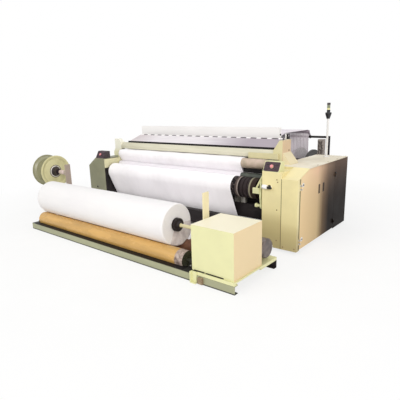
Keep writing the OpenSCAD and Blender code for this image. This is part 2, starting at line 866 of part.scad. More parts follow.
// Signal tower on the right cabinet
tower_in = 210;
tower_back = 194;
lamp_h = 197;
lamp_r = 21;
cup_h = 78;
cup_r = 38.5;
neck_h = 111;
cap_h = 26;
collar_h = 8;
collar_r = 38;
tower_x = right_x - tower_in;
tower_y = cabinet_d - tower_back;
socket_z = tower_top - lamp_h;
module tower_pole() {
    color(white) translate([tower_x, tower_y, right_h]) {
        cylinder(h = collar_h, r = collar_r);
        cylinder(h = socket_z - right_h, r = pole_r);
    }
}
module signal_lamp() {
    color("#20201c") translate([tower_x, tower_y, socket_z]) rotate_extrude()
        polygon([[0, 0], [lamp_r - 1, 0], [lamp_r, 5], [cup_r, cup_h * 0.77],
            [cup_r, cup_h * 0.95], [cup_r - 3, cup_h], [lamp_r, cup_h + 1], [lamp_r, neck_h],
            [lamp_r - 1.5, neck_h + 1], [lamp_r - 1.5, lamp_h - cap_h - 1],
            [lamp_r, lamp_h - cap_h], [lamp_r, lamp_h - 4], [lamp_r - 3, lamp_h], [0, lamp_h]]);
}

// Breast beam with its end journals
module breast_beam() {
    color("#d9d3b4") turned_x(breast_y, breast_z, [[left_in, journal_r],
        [roller_x0, journal_r], [roller_x0, breast_r], [roller_x1 - 14, breast_r],
        [roller_x1, breast_r - 8], [roller_x1, journal_r], [right_in, journal_r]]);
}

// Take-up roller with rings on its bare end and a toothed wheel beside it
module take_up_roller() {
    rings = 4;
    ring_w = 40;
    ring_groove = 10;
    bare = roller_x1 - cloth_x1;
    first = cloth_x1 + (bare - rings * (ring_w + ring_groove)) / 2;
    gear_x0 = roller_x1 + 16;
    gear_w = 28;
    gear_r = take_up_r * 0.86;
    teeth = 40;
    color(dark) {
        turned_x(take_up_y, take_up_z, [[left_in - side_t, journal_r], [roller_x0, journal_r],
            [roller_x0, take_up_r], [first, take_up_r],
            for (k = [0 : rings - 1])
                let (x = first + k * (ring_w + ring_groove))
                each [[x, take_up_r - 8], [x + ring_groove, take_up_r - 8],
                    [x + ring_groove, take_up_r], [x + ring_groove + ring_w, take_up_r]],
            [roller_x1, take_up_r], [roller_x1, take_up_r * 0.45],
            [gear_x0, take_up_r * 0.45], [gear_x0, gear_r], [gear_x0 + gear_w, gear_r],
            [gear_x0 + gear_w, journal_r], [right_in + side_t, journal_r]]);
        translate([gear_x0, take_up_y, take_up_z]) rotate([0, 90, 0])
            for (k = [0 : teeth - 1]) rotate([0, 0, k * 360 / teeth])
                translate([gear_r - 3, -3.5, 0]) cube([11, 7, gear_w]);
    }
}

module press_roller() {
    color("#6b6668") turned_x(press_y, press_z, [[left_in - side_t, press_journal_r],
        [roller_x0, press_journal_r], [roller_x0, press_r], [roller_x1, press_r],
        [roller_x1, press_journal_r], [right_in + side_t, press_journal_r]]);
}

module floor_guide_roller() {
    color(steel) turned_x(floor_y, floor_z, [[left_in - side_t, floor_journal_r],
        [roller_x0, floor_journal_r], [roller_x0, floor_r], [roller_x1, floor_r],
        [roller_x1, floor_journal_r], [right_in + side_t, floor_journal_r]]);
}

// Loading lever of the press roller on the right side frame: boss, bent arm and handle
module press_lever() {
    x0 = right_in - 46;
    x1 = right_in - 26;
    lever_drop = 170;
    lever_front = 74;
    bend_h = 120;
    tip_h = 300;
    tip_front = 62;
    tip_w = 32;
    pivot = [take_up_y - lever_front, take_up_z - lever_drop];
    color(cream) {
        rod_x(x0, right_in, pivot[0] - 30, pivot[1], 26);
        along_x(x0, x1) {
            translate([pivot[0] - 30, pivot[1]]) circle(34);
            polygon([[pivot[0] - 58, pivot[1]], [pivot[0] - 76, pivot[1] + bend_h],
                [pivot[0] - tip_front, pivot[1] + tip_h],
                [pivot[0] - tip_front + tip_w, pivot[1] + tip_h],
                [pivot[0] - 42, pivot[1] + bend_h], [pivot[0] - 6, pivot[1]]]);
        }
        rod_x(x0 - 50, x0, pivot[0] - 30, pivot[1], 15);
        rod_x(x0 - 74, x0 - 50, pivot[0] - 30, pivot[1], 24);
    }
}

// Folded beam above the cloth
top_beam_y0 = 402;
top_beam_d = 74;
top_beam_rise = 10.4;
top_beam_z0 = fell_z + top_beam_rise;
top_beam_front_h = 40;
top_beam_h = 92;
top_beam_z1 = top_beam_z0 + top_beam_h;
top_beam_x0 = left_in - 56;
top_beam_x1 = right_in - 88;
module top_beam_profile(inset) {
    y1 = top_beam_y0 + top_beam_d;
    polygon([[top_beam_y0 + inset, top_beam_z0 + inset],
        [top_beam_y0 + inset, top_beam_z0 + top_beam_front_h - inset * 0.3],
        [top_beam_y0 + 36 + inset * 0.3, top_beam_z1 - inset], [y1 - inset, top_beam_z1 - inset],
        [y1 - inset, top_beam_z0 + inset]]);
}
module front_top_beam() {
    color(cream) along_x(top_beam_x0, top_beam_x1) difference() {
        top_beam_profile(0);
        top_beam_profile(4);
    }
}

// Stainless plate that rises from the beam towards the heald frames
plate_y1 = 720;
plate_rise = 108;
plate_z1 = top_beam_z1 + plate_rise;
plate_x0 = top_beam_x0 + 139;
plate_x1 = top_beam_x1 - 17;
module splash_plate() {
    y0 = top_beam_y0 + 48;
    lip = 26;
    color(steel) along_x(plate_x0, plate_x1)
        polygon([[y0, top_beam_z1], [y0, top_beam_z1 + 14], [plate_y1, plate_z1],
            [plate_y1, plate_z1 - lip], [plate_y1 - sheet_t, plate_z1 - lip],
            [plate_y1 - sheet_t, plate_z1 - sheet_t - 1],
            [y0 + sheet_t, top_beam_z1 + 14 - sheet_t], [y0 + sheet_t, top_beam_z1]]);
}

// Upright at an end of the top beam, with a sloping foot on the cabinet
bracket_d = 74;
bracket_drop = 28;
bracket_rise = 273;
bracket_foot_h = 8;
bracket_step_h = 137;
bracket_lean = 77;
bracket_post_w = 122;
bracket_foot_w = 222;
housing_d = 200;
bracket_clear = 4;
cover_d = 27;
cover_l = 328;
cover_h = 53;
module top_bracket_right() {
    x = top_beam_x1;
    y1 = top_beam_y0 + housing_d;
    z0 = top_beam_z0 - bracket_drop;
    top = right_h + bracket_rise;
    color(cream) {
        along_y(top_beam_y0, y1)
            polygon([[x, z0], [x, top_beam_z1], [x + bracket_lean, top], [x + bracket_post_w, top],
                [x + bracket_post_w, right_h + bracket_step_h],
                [x + bracket_foot_w, right_h + bracket_foot_h], [x + bracket_foot_w, right_h],
                [right_in - bracket_clear, right_h], [right_in - bracket_clear, z0]]);
        block([x - cover_l, top_beam_y0 - cover_d, top_beam_z0 - bracket_drop / 2],
            [x + bracket_d, top_beam_y0, top_beam_z0 + cover_h]);
    }
}
left_bracket_rise = 54;
left_bracket_lean = 60;
left_bracket_w = 150;
left_step_h = 120;
left_foot_w = 190;
left_foot_h = 60;
module top_bracket_left() {
    x = top_beam_x0;
    top = top_beam_z1 + left_bracket_rise;
    color(cream) along_y(top_beam_y0, top_beam_y0 + bracket_d)
        polygon([[x, top_beam_z0 - bracket_drop], [x, top_beam_z1],
            [x - left_bracket_lean, top], [x - left_bracket_w, top],
            [x - left_bracket_w, left_h + left_step_h], [x - left_foot_w, left_h + left_foot_h],
            [x - left_foot_w, left_h], [x, left_h]]);
}

// Heald frame: two rails, two end legs and the middle stays
module heald_frame(y) {
    top_rail_z = heald_top - heald_rail_h;
    low_rail_z = heald_low + heald_rail_h;
    leg_w = 13;
    color(white) {
        for (z = [heald_low, top_rail_z])
            block([heald_x0, y, z], [heald_x1, y + heald_t, z + heald_rail_h]);
        for (x = [heald_x0, heald_x1 - leg_w])
            block([x, y, heald_low - heald_leg], [x + leg_w, y + heald_t, heald_top]);
        for (k = [1 : stays])
            block([stay_x(k) - stay_w / 2, y, low_rail_z - cut],
                [stay_x(k) + stay_w / 2, y + heald_t, top_rail_z + cut]);
    }
}
module heald_frame_front() {
    heald_frame(heald_y);
}
module heald_frame_rear() {
    heald_frame(heald_y + heald_pitch);
}

// Sley: rocking shaft, swords, beam and the reed's frame
reed_y = sley_y + 20;
module sley() {
    swords = 4;
    sword_t = 24;
    reed_drop = 62;
    reed_gap = 110;
    reed_d = 24;
    reed_end = 8;
    stay_d = 10;
    sley_beam_h = 60;
    sley_beam_d = 80;
    sley_over_left = 12;
    sley_over_right = 60;
    sword_in = 60;
    sley_top = warp_z(reed_y) - reed_drop;
    sley_x0 = warp_x0 - sley_over_left;
    sley_x1 = warp_x1 + sley_over_right;
    color("#8a8688") {
        rod_x(left_in - side_t, right_in + side_t, sley_y, sley_z, journal_r);
        for (k = [0 : swords - 1]) {
            x = sley_x0 + sword_in + k * (sley_x1 - sley_x0 - 2 * sword_in - sword_t) / (swords - 1);
            along_x(x, x + sword_t) {
                translate([sley_y, sley_z]) circle(journal_r + 22);
                polygon([[sley_y - 40, sley_z], [sley_y - 20, sley_top], [sley_y + 50, sley_top],
                    [sley_y + 40, sley_z]]);
            }
        }
        block([sley_x0, reed_y - sley_beam_d / 2, sley_top - sley_beam_h],
            [sley_x1, reed_y + sley_beam_d / 2, sley_top]);
        block([sley_x0, reed_y - reed_d / 2, sley_top - cut],
            [sley_x1, reed_y + reed_d / 2, sley_top + 12]);
        block([sley_x0, reed_y - reed_d / 2, sley_top + 12 + reed_gap],
            [sley_x1, reed_y + reed_d / 2, sley_top + 30 + reed_gap]);
        for (x = [sley_x0, sley_x1 - reed_end])
            block([x, reed_y - reed_d / 2, sley_top],
                [x + reed_end, reed_y + reed_d / 2, sley_top + 30 + reed_gap]);
        for (k = [1 : stays])
            block([stay_x(k) - stay_w / 2, reed_y - stay_d / 2, sley_top],
                [stay_x(k) + stay_w / 2, reed_y + stay_d / 2, sley_top + 20 + reed_gap]);
    }
}

// Warp beam: barrel, flanges and journals, with the yarn as one package
beam_x0 = warp_x0 - 4;
beam_x1 = warp_x1 + 4;
gear_in = 246;
gear_t = 26;
gear_r = 360;
gear_x = right_in - gear_in;
module warp_beam() {
    color("#c8c6cc") turned_x(beam_y, beam_z, [[stand_left_x, beam_journal_r],
        [beam_x0 - beam_flange_t, beam_journal_r], [beam_x0 - beam_flange_t, flange_r * 0.4],
        [beam_x0 - beam_flange_t * 0.6, flange_r * 0.5], [beam_x0 - beam_flange_t * 0.6, flange_r],
        [beam_x0, flange_r], [beam_x0, barrel_r], [beam_x1, barrel_r], [beam_x1, flange_r],
        [beam_x1 + beam_flange_t * 0.6, flange_r], [beam_x1 + beam_flange_t * 0.6, flange_r * 0.5],
        [beam_x1 + beam_flange_t, flange_r * 0.4], [beam_x1 + beam_flange_t, beam_journal_r],
        [gear_x, beam_journal_r], [gear_x, gear_r], [gear_x + gear_t, gear_r],
        [gear_x + gear_t, beam_journal_r], [right_in, beam_journal_r]]);
}
module yarn_package() {
    color(white) difference() {
        rod_x(beam_x0 + slide_gap, beam_x1 - slide_gap, beam_y, beam_z, yarn_r);
        rod_x(beam_x0 - cut, beam_x1 + cut, beam_y, beam_z, barrel_r + slide_gap);
    }
}

module back_rest_roller() {
    color("#77727a") turned_x(rest_y, rest_z, [[rocker_x0, rest_journal_r],
        [rest_x0, rest_journal_r], [rest_x0, rest_r], [rest_x1, rest_r],
        [rest_x1, rest_journal_r], [rocker_x1 + rocker_t, rest_journal_r]]);
}

module warp_guide_roller() {
    color(steel) turned_x(guide_y, guide_z, [[left_in, guide_journal_r],
        [guide_x0 + slide_gap, guide_journal_r], [guide_x0 + slide_gap, guide_r],
        [guide_x1 - slide_gap, guide_r], [guide_x1 - slide_gap, guide_journal_r],
        [guide_x1 + upright_w, guide_journal_r]]);
}

// Rear stand: an arm from the side frame with the beam's bearing, and a post on the floor
post_d = 60;
module rear_stand(x, top) {
    overlap = 190;
    color(dark) difference() {
        union() {
            block([x, side_y1 - overlap, beam_z - arm_h / 2],
                [x + stand_t, tie_y, beam_z + arm_h / 2]);
            block([x, tie_y - post_d / 2, 0], [x + stand_t, tie_y + post_d / 2, top]);
        }
        rod_x(x - cut, x + stand_t + cut, beam_y, beam_z, beam_journal_r + run_fit);
    }
}
module rear_stand_left() {
    rear_stand(stand_left_x, tie_z + post_d / 2);
}

// Right rear stand, which also carries the let-off's box
module rear_stand_right() {
    box_w = 76;
    box_d = 90;
    box_h = 230;
    box_z = 860;
    box_front = 210;
    neck_in = 20;
    box_y = beam_y - box_front;
    rear_stand(stand_right_x, beam_z + arm_h / 2 + post_d);
    color(dark) {
        block([stand_right_x + neck_in, box_y + neck_in, beam_z],
            [right_in - neck_in, box_y + box_d - neck_in, box_z + cut]);
        block([right_in - box_w, box_y, box_z], [right_in, box_y + box_d, box_z + box_h]);
    }
}

// Tie bar behind the warp, with its post and the arms that carry the back rest
module rocker_arm(x) {
    rim = 9;
    arm = [tie_back + rest_r, tie_drop];
    side = [arm[1], arm[0]] / norm(arm);
    tie = [tie_y, tie_z];
    rest = [rest_y, rest_z];
    along_x(x, x + rocker_t) difference() {
        union() {
            translate(tie) circle(tie_r + rim);
            translate(rest) circle(rest_journal_r + rim);
            polygon([tie + side * tie_r, rest + side * rest_journal_r,
                rest - side * rest_journal_r, tie - side * tie_r]);
        }
        translate(rest) circle(rest_journal_r + run_fit);
    }
}
module rear_tie_bar() {
    lug_h = 40;
    color(dark) {
        rod_x(stand_left_x + stand_t, tie_post_x + cut, tie_y, tie_z, tie_r);
        block([tie_post_x, tie_y - tie_post_w / 2, 0],
            [tie_post_x + tie_post_w, tie_y + tie_post_w / 2, tie_z + tie_r]);
        block([tie_post_x, tie_y - tie_post_w / 2, beam_z],
            [stand_right_x, tie_y + tie_post_w / 2, beam_z + lug_h]);
        for (x = [rocker_x0, rocker_x1])
            rocker_arm(x);
    }
}

// Warp yarn as bands from the beam over the back rest and the guide roller to the fell
module warp_sheet() {
    t = cloth_t;
    start_dir = 84;
    color("#c9c2cc") for (i = [0 : bands - 1])
        along_x(warp_x0 + i * band_step, warp_x0 + i * band_step + band_w)
            web_profile([web_roller(beam_y, beam_z, yarn_r, 1, t),
                web_roller(rest_y, rest_z, rest_r, 1, t),
                web_roller(guide_y, guide_z, guide_r, 1, t),
                [fell_y + 1, fell_z, 0, 1]], start_dir, 180, t);
}

// Cloth from the fell over the breast beam, the press and take-up rollers and the floor
// roller to the winder's rear roller, where it meets the roll
nip_dir = 90 + atan2(roll_lift, -roller_span / 2);
nip_clear = 14;
module cloth_web() {
    t = cloth_t;
    color(white) along_x(cloth_x0, cloth_x1)
        web_profile([[fell_y, fell_z, 0, 1],
            web_roller(breast_y, breast_z, breast_r, 1, t),
            web_roller(press_y, press_z, press_r, -1, t),
            web_roller(take_up_y, take_up_z, take_up_r, 1, t),
            web_roller(floor_y, floor_z, floor_r, -1, t),
            web_roller(rear_roller_y, roller_z, roller_r, 1, t)],
            180, nip_dir - nip_clear, t);
}

// Rail of rolled channel, with its web at y0 and its flanges towards side
module channel(x0, x1, y_web, side) {
    y_tip = y_web + side * rail_w;
    difference() {
        block([x0, min(y_web, y_tip), 0], [x1, max(y_web, y_tip), rail_h]);
        block([x0 - cut, min(y_web + side * rail_t, y_tip + side * cut), rail_t],
            [x1 + cut, max(y_web + side * rail_t, y_tip + side * cut), rail_h - rail_t]);
    }
}
module front_rail() {
    color(grey_green) channel(winder_x0, winder_x1, winder_y0, 1);
}
module rear_rail() {
    color(grey_green) channel(winder_x0, winder_x1, winder_y1, -1);
}

// Members between the rails: at the left end and under the right bearings
member_y0 = winder_y0 + rail_w;
member_y1 = winder_y1 - rail_w;
module end_members() {
    color(grey_green)
        for (m = [[winder_x0, left_member_w], [mid_member_x0, mid_member_w]])
            block([m[0], member_y0, 0], [m[0] + m[1], member_y1, rail_h]);
}

// Bearing blocks of the winder's rollers
winder_journal_r = 22;
module pillow_blocks() {
    base_w = 130;
    foot_h = 16;
    hub_r = roller_z - rail_h + 4;
    color("#6f716a")
        for (x = [left_block_x, right_block_x], y = [front_roller_y, rear_roller_y])
            along_x(x, x + block_w) difference() {
                union() {
                    translate([y - base_w / 2, rail_h]) square([base_w, foot_h]);
                    intersection() {
                        translate([y, roller_z]) circle(hub_r);
                        translate([y - base_w / 2, rail_h]) square([base_w, 2 * hub_r]);
                    }
                }
                translate([y, roller_z]) circle(winder_journal_r + run_fit);
            }
}

// Winder roller with its covering, bare steel end, journals and sprocket
bare_l = 90;
module winder_roller(y) {
    turned_x(y, roller_z, [[left_block_x, winder_journal_r],
        [winder_roller_x0, winder_journal_r], [winder_roller_x0, roller_r],
        [winder_roller_x1 - bare_l, roller_r], [winder_roller_x1 - bare_l, roller_r - 2],
        [winder_roller_x1, roller_r - 2], [winder_roller_x1, winder_journal_r],
        [sprocket_x, winder_journal_r], [sprocket_x, sprocket_r],
        [sprocket_x + sprocket_w, sprocket_r], [sprocket_x + sprocket_w, winder_journal_r],
        [sprocket_x + sprocket_w + 20, winder_journal_r]]);
}
module front_roller() {
    color("#d3a660") winder_roller(front_roller_y);
}
module rear_roller() {
    color("#9c6a3c") winder_roller(rear_roller_y);
}

// Batched cloth and its core
module cloth_roll() {
    color(white) difference() {
        rod_x(roll_x0, roll_x1, roll_y, roll_z, roll_r);
        rod_x(roll_x0 - cut, roll_x1 + cut, roll_y, roll_z, core_r + slide_gap);
    }
}
module roll_core() {
    color("#3a3030") turned_x(roll_y, roll_z, [[left_post_x - 20, shaft_r],
        [core_x0, shaft_r], [core_x0, core_r], [core_x1, core_r], [core_x1, core_r * 0.6],
        [core_x1 + 24, core_r * 0.4], [core_x1 + 24, shaft_r],
        [guide_post_x + post_t + 20, shaft_r]]);
}

// Slotted posts that guide the roll's shaft, and the post that carries the reel
module slotted_post(x, top, slot_low, slot_high) {
    difference() {
        along_x(x, x + post_t) difference() {
            translate([roll_y - post_w / 2, rail_h]) square([post_w, top - rail_h]);
            translate([roll_y - shaft_r - slide_gap, slot_low])
                square([2 * (shaft_r + slide_gap), slot_high - slot_low]);
        }
    }
}
module guide_posts() {
    slot_below = 200;
    slot_above = 90;
    color(cream) {
        slotted_post(guide_post_x, post_top, roll_z - slot_below, roll_z + slot_above);
        slotted_post(left_post_x, roll_z + slot_above + 40, roll_z - slot_below,
            roll_z + slot_above);
        difference() {
            union() {
                along_x(reel_post_x, reel_post_x + post_t)
                    translate([reel_axis_y - post_w / 2, rail_h])
                    square([post_w, reel_post_top - rail_h]);
                rod_x(reel_post_x - 46, reel_post_x + 1, reel_axis_y, reel_z, 44);
            }
            rod_x(reel_post_x - 50, reel_post_x + post_t + cut, reel_axis_y, reel_z,
                reel_shaft_r + run_fit);
        }
    }
}

// Sheet cover over the chain, open at the foot, with a slot for the chain at the back
module drive_box() {
    z0 = rail_h + base_h;
    z1 = z0 + box_h;
    bay = sprocket_r + chain_t + 24;
    color(cream) difference() {
        block([box_x0, box_y0, z0], [box_x1, box_y1, z1]);
        block([box_x0 + sheet_t, box_y0 + sheet_t, z0 - cut],
            [box_x1 - sheet_t, box_y1 - sheet_t, z1 - sheet_t]);
        for (y = [front_roller_y, rear_roller_y])
            block([box_x0 - cut, y - winder_journal_r - 8, z0 - cut],
                [box_x0 + sheet_t + cut, y + winder_journal_r + 8,
                    roller_z + winder_journal_r + 8]);
        block([sprocket_x - 30, box_y1 - sheet_t - cut, z0 - cut],
            [sprocket_x + sprocket_w + 30, box_y1 + cut, motor_z + bay]);
    }
}

// Angles under the drive box, the motor's base and the floor bracket at the front
bracket_x = box_x0 + 6;
bracket_w = 66;
module base_angles() {
    rear_w = 40;
    angle_t = 6;
    plate_t = 12;
    gusset_t = 10;
    side_bar_w = 50;
    color(cream) {
        along_x(bracket_x + bracket_w, winder_x1) {
            translate([winder_y0, rail_h]) square([angle_t, base_h]);
            translate([winder_y0, rail_h]) square([rail_w, angle_t]);
            translate([box_y0 - angle_t, rail_h]) square([2 * angle_t, base_h]);
        }
        block([sprocket_x + sprocket_w + 30, box_y1 - rear_w, rail_h],
            [winder_x1, winder_y1, rail_h + base_h]);
        block([winder_x1 - side_bar_w, winder_y0, rail_h + base_h - plate_t],
            [winder_x1, winder_y1, rail_h + base_h]);
        difference() {
            union() {
                block([bracket_x, winder_y0 - anchor_t, 0],
                    [bracket_x + bracket_w, winder_y0, plate_t]);
                block([bracket_x, winder_y0 - gusset_t, 0],
                    [bracket_x + bracket_w, winder_y0, rail_h + base_h]);
                block([bracket_x, winder_y0 - anchor_t, 0],
                    [bracket_x + gusset_t, winder_y0, rail_h + base_h]);
            }
            translate([anchor_x, anchor_y, -cut]) cylinder(h = plate_t + 2 * cut, r = anchor_r);
        }
    }
}
anchor_r = 6;
anchor_x = bracket_x + bracket_w / 2 + 4;
anchor_y = winder_y0 - anchor_t + 10;

// Gear motor behind the drive box
module gear_motor() {
    base_z = rail_h + base_h;
    case_x1 = gearcase_x0 + 90;
    color("#8d8a86") difference() {
        union() {
            block([gearcase_x0, motor_y - motor_r * 0.9, base_z],
                [case_x1, motor_y + motor_r * 0.9, motor_z + motor_r * 0.9]);
            turned_x(motor_y, motor_z, [[case_x1 - 1, motor_r * 0.85],
                [motor_x1 - 70, motor_r * 0.85], [motor_x1 - 70, motor_r],
                [motor_x1 - 12, motor_r], [motor_x1, motor_r * 0.86]]);
            block([case_x1 + 20, motor_y - motor_r * 0.6, base_z],
                [motor_x1 - 90, motor_y + motor_r * 0.6, motor_z]);
        }
        rod_x(gearcase_x0 - cut, gearcase_x0 + 60, motor_y, motor_z, motor_shaft_r + run_fit);
    }
}
module motor_sprocket() {
    color(steel) turned_x(motor_y, motor_z, [[sprocket_x, sprocket_r],
        [sprocket_x + sprocket_w, sprocket_r], [sprocket_x + sprocket_w, motor_shaft_r],
        [gearcase_x0 + 50, motor_shaft_r]]);
}

// Chain round the three sprockets as one closed loop
module chain_loop(r) {
    hull() for (p = [[front_roller_y, roller_z], [rear_roller_y, roller_z], [motor_y, motor_z]])
        translate(p) circle(r, $fn = 48);
}
module drive_chain() {
    color("#55504a") along_x(sprocket_x + 2, sprocket_x + sprocket_w - 2) difference() {
        chain_loop(sprocket_r + chain_gap + chain_t);
        chain_loop(sprocket_r + chain_gap);
    }
}

// Flanged reel with dished cheeks on an overhung shaft
module reel() {
    hub_r = 60;
    barrel = 82;
    dish = 18;
    color(cream) turned_x(reel_axis_y, reel_z, [[reel_x0 - reel_end, reel_shaft_r],
        [reel_x0, reel_shaft_r], [reel_x0, hub_r], [reel_x0 + dish, hub_r + 20],
        [reel_x0 + dish, reel_r - 50], [reel_x0, reel_r - 20], [reel_x0, reel_r],
        [reel_x0 + reel_flange_t, reel_r], [reel_x0 + reel_flange_t, reel_r - 20],
        [reel_x0 + reel_flange_t + dish, reel_r - 50], [reel_x0 + reel_flange_t + dish, barrel],
        [reel_x1 - reel_flange_t - dish, barrel], [reel_x1 - reel_flange_t - dish, reel_r - 50],
        [reel_x1 - reel_flange_t, reel_r - 20], [reel_x1 - reel_flange_t, reel_r],
        [reel_x1, reel_r], [reel_x1, reel_r - 20], [reel_x1 - dish, reel_r - 50],
        [reel_x1 - dish, hub_r + 20], [reel_x1, hub_r], [reel_x1 + 60, hub_r * 0.8],
        [reel_x1 + 60, reel_shaft_r], [reel_post_x + post_t, reel_shaft_r]]);
}

place() {
    side_frame_left();
    side_frame_right();
    front_lower_beam();
    rear_cross_beam();
    levelling_feet();
    drip_tray();
    left_cabinet();
    left_control_box();
    left_stop_button();
    right_base();
    column_cover();
    front_cover();
    top_cover();
    front_door();
    rear_door();
    rear_side_panel();
    hinge_pins();
    right_control_box();
    right_stop_button();
    release_lever();
    main_motor();
    main_shaft();
    tower_pole();
    signal_lamp();
    breast_beam();
    take_up_roller();
    press_roller();
    floor_guide_roller();
    press_lever();
    front_top_beam();
    splash_plate();
    top_bracket_left();
    top_bracket_right();
    heald_frame_front();
    heald_frame_rear();
    sley();
    warp_beam();
    yarn_package();
    back_rest_roller();
    warp_guide_roller();
    rear_stand_left();
    rear_stand_right();
    rear_tie_bar();
    warp_sheet();
    cloth_web();
    front_rail();
    rear_rail();
    end_members();
    pillow_blocks();
    front_roller();
    rear_roller();
    cloth_roll();
    roll_core();
    guide_posts();
    drive_box();
    base_angles();
    gear_motor();
    motor_sprocket();
    drive_chain();
    reel();
}
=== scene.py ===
"""Looks of a weaving loom with a floor-standing batching winder.

Lengths are metres in the part's own frame: X along the weaving width, Y to the back, Z up.
"""
import json

import bpy
import numpy as np
from mathutils import Matrix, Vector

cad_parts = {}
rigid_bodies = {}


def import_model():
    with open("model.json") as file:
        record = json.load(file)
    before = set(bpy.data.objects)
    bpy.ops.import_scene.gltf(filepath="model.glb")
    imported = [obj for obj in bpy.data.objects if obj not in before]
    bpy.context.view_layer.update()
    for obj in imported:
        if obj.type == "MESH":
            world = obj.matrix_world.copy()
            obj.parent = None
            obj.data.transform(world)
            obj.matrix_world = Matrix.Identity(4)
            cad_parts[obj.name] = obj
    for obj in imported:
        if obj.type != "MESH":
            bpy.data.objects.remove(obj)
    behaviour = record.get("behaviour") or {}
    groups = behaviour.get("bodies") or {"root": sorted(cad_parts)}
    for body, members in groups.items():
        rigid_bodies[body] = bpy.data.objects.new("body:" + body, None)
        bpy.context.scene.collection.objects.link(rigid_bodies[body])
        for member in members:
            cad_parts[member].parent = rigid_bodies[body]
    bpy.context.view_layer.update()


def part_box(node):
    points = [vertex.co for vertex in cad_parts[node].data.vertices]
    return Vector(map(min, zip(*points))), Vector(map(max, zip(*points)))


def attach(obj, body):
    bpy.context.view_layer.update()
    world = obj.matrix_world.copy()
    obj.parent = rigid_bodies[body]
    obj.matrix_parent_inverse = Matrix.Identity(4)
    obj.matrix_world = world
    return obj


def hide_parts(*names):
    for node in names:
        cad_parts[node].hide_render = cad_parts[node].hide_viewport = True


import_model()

bl_info = {
    "name": "Weaving loom dressing",
    "version": (1, 0, 0),
    "blender": (4, 5, 0),
    "location": "3D View > Sidebar > Loom",
    "description": "Cloth, yarn, trim, finishes and stage of a weaving loom with its winder",
    "category": "Object",
}

TAU = 2.0 * np.pi


def linear(code):
    """Linear colour of an sRGB hex code."""
    c = np.array([int(code[k:k + 2], 16) / 255 for k in (1, 3, 5)])
    return (*np.where(c <= 0.04045, c / 12.92, ((c + 0.055) / 1.055) ** 2.4), 1.0)


# Settings

def length(name, description, default):
    """Setting for a length in metres."""
    return bpy.props.FloatProperty(name=name, description=description, default=default,
                                   subtype="DISTANCE", unit="LENGTH")


def amount(name, description, default, unit="NONE"):
    """Setting for a plain number or one with a unit."""
    return bpy.props.FloatProperty(name=name, description=description, default=default, unit=unit)


def count(name, description, default):
    """Setting for a whole number."""
    return bpy.props.IntProperty(name=name, description=description, default=default, min=1)


def colour(name, description, code):
    """Setting for a colour, from its sRGB hex code."""
    return bpy.props.FloatVectorProperty(name=name, description=description, subtype="COLOR",
                                         size=3, default=linear(code)[:3], min=0.0, max=1.0)


class ColourSettings(bpy.types.PropertyGroup):
    """Main colours of the machine."""
    cream: colour("Winder cream", "Powder coat of the drive box and its feet", "#DBDAA9")
    cabinet: colour("Cabinet cream", "Enamel of the loom's covers", "#E9DDA9")
    door: colour("Door tan", "Enamel of the doors", "#DFC39C")
    enamel: colour("Cabinet green", "Enamel of the left cabinet", "#8A8A72")
    rail: colour("Rail green", "Enamel of the winder's rails", "#A0A183")
    dark: colour("Dark enamel", "Enamel of the beams between the sides", "#262122")
    ochre: colour("Roller ochre", "Covering of the front winder roller", "#CDA25C")
    cloth: colour("Cloth white", "Woven cloth between the loom and the roll", "#F9F6F9")
    warp: colour("Warp grey", "Warp yarn behind the healds", "#EFE7ED")


class ClothSettings(bpy.types.PropertyGroup):
    """Cloth on the rollers and on the roll."""
    gap: length("Cloth gap", "Distance from a roller's face to the middle of the cloth", 0.0016)
    wrinkle: length("Wrinkle height", "Height of the slack waves between two rollers", 0.0034)
    step: length("Step", "Spacing of the mesh points along the cloth", 0.03)
    columns: count("Columns", "Mesh points across the cloth", 96)
    roll_layer: length("Layer step", "Step of the roll's outermost layer", 0.0025)
    roll_flap: length("Loose end", "Reach of the loose outer layers at the roll's right end", 0.04)


class WarpSettings(bpy.types.PropertyGroup):
    """Warp, heald wires and reed."""
    strips: count("Strips per band", "Yarn strips in each band of the warp", 4)
    slit: length("Slit", "Gap between two strips, where a wire passes", 0.003)
    wire: length("Wire", "Thickness of a heald wire and of a reed dent", 0.0009)
    ridge: length("Ridge", "Height of the ridges of single ends", 0.0004)


class TrimSettings(bpy.types.PropertyGroup):
    """Small fittings."""
    clips: count("Clips", "Clips along the top of the splash plate", 17)
    screw_r: length("Screw radius", "Radius of the cover screws' heads", 0.0075)
    bolt_r: length("Bolt radius", "Radius of the frame bolts' heads", 0.012)
    chain_pitch: length("Chain pitch", "Distance between two pins of the drive chain", 0.01905)


class StageSettings(bpy.types.PropertyGroup):
    """Camera, lamps and floor."""
    lens: amount("Focal length", "Focal length on a 36 mm sensor, in millimetres", 34.963, "CAMERA")
    ambient: amount("Sky level", "Light of the surroundings on the object", 0.55)
    key: amount("Key power", "Power of the main lamp", 320.0, "POWER")
    side: amount("Side power", "Power of the warm lamp on the right", 620.0, "POWER")
    top: amount("Top power", "Power of the lamp above", 200.0, "POWER")
    glow: amount("Floor white", "Share of plain white in the floor as the camera sees it", 0.75)


# Geometry helpers: a part is an array of points and a list of faces

def span(node):
    """Corners of a node's box as two arrays."""
    lo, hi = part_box(node)
    return np.array(lo), np.array(hi)


def axis(node):
    """Middle of a node's box, a point of its axis."""
    lo, hi = span(node)
    return (lo + hi) / 2


RIGHT_FACE = 1.8     # from the middle of the loom's width to the drive cabinet's right face
HALF_CLOTH = 0.001   # half the thickness of the solid cloth
ORIGIN = np.array([span("front_cover")[1][0] - RIGHT_FACE, span("front_cover")[0][1], 0.0])


def loom(x, y, z):
    """Point given from the middle of the loom's width, the cabinets' front and the floor."""
    return ORIGIN + (x, y, z)


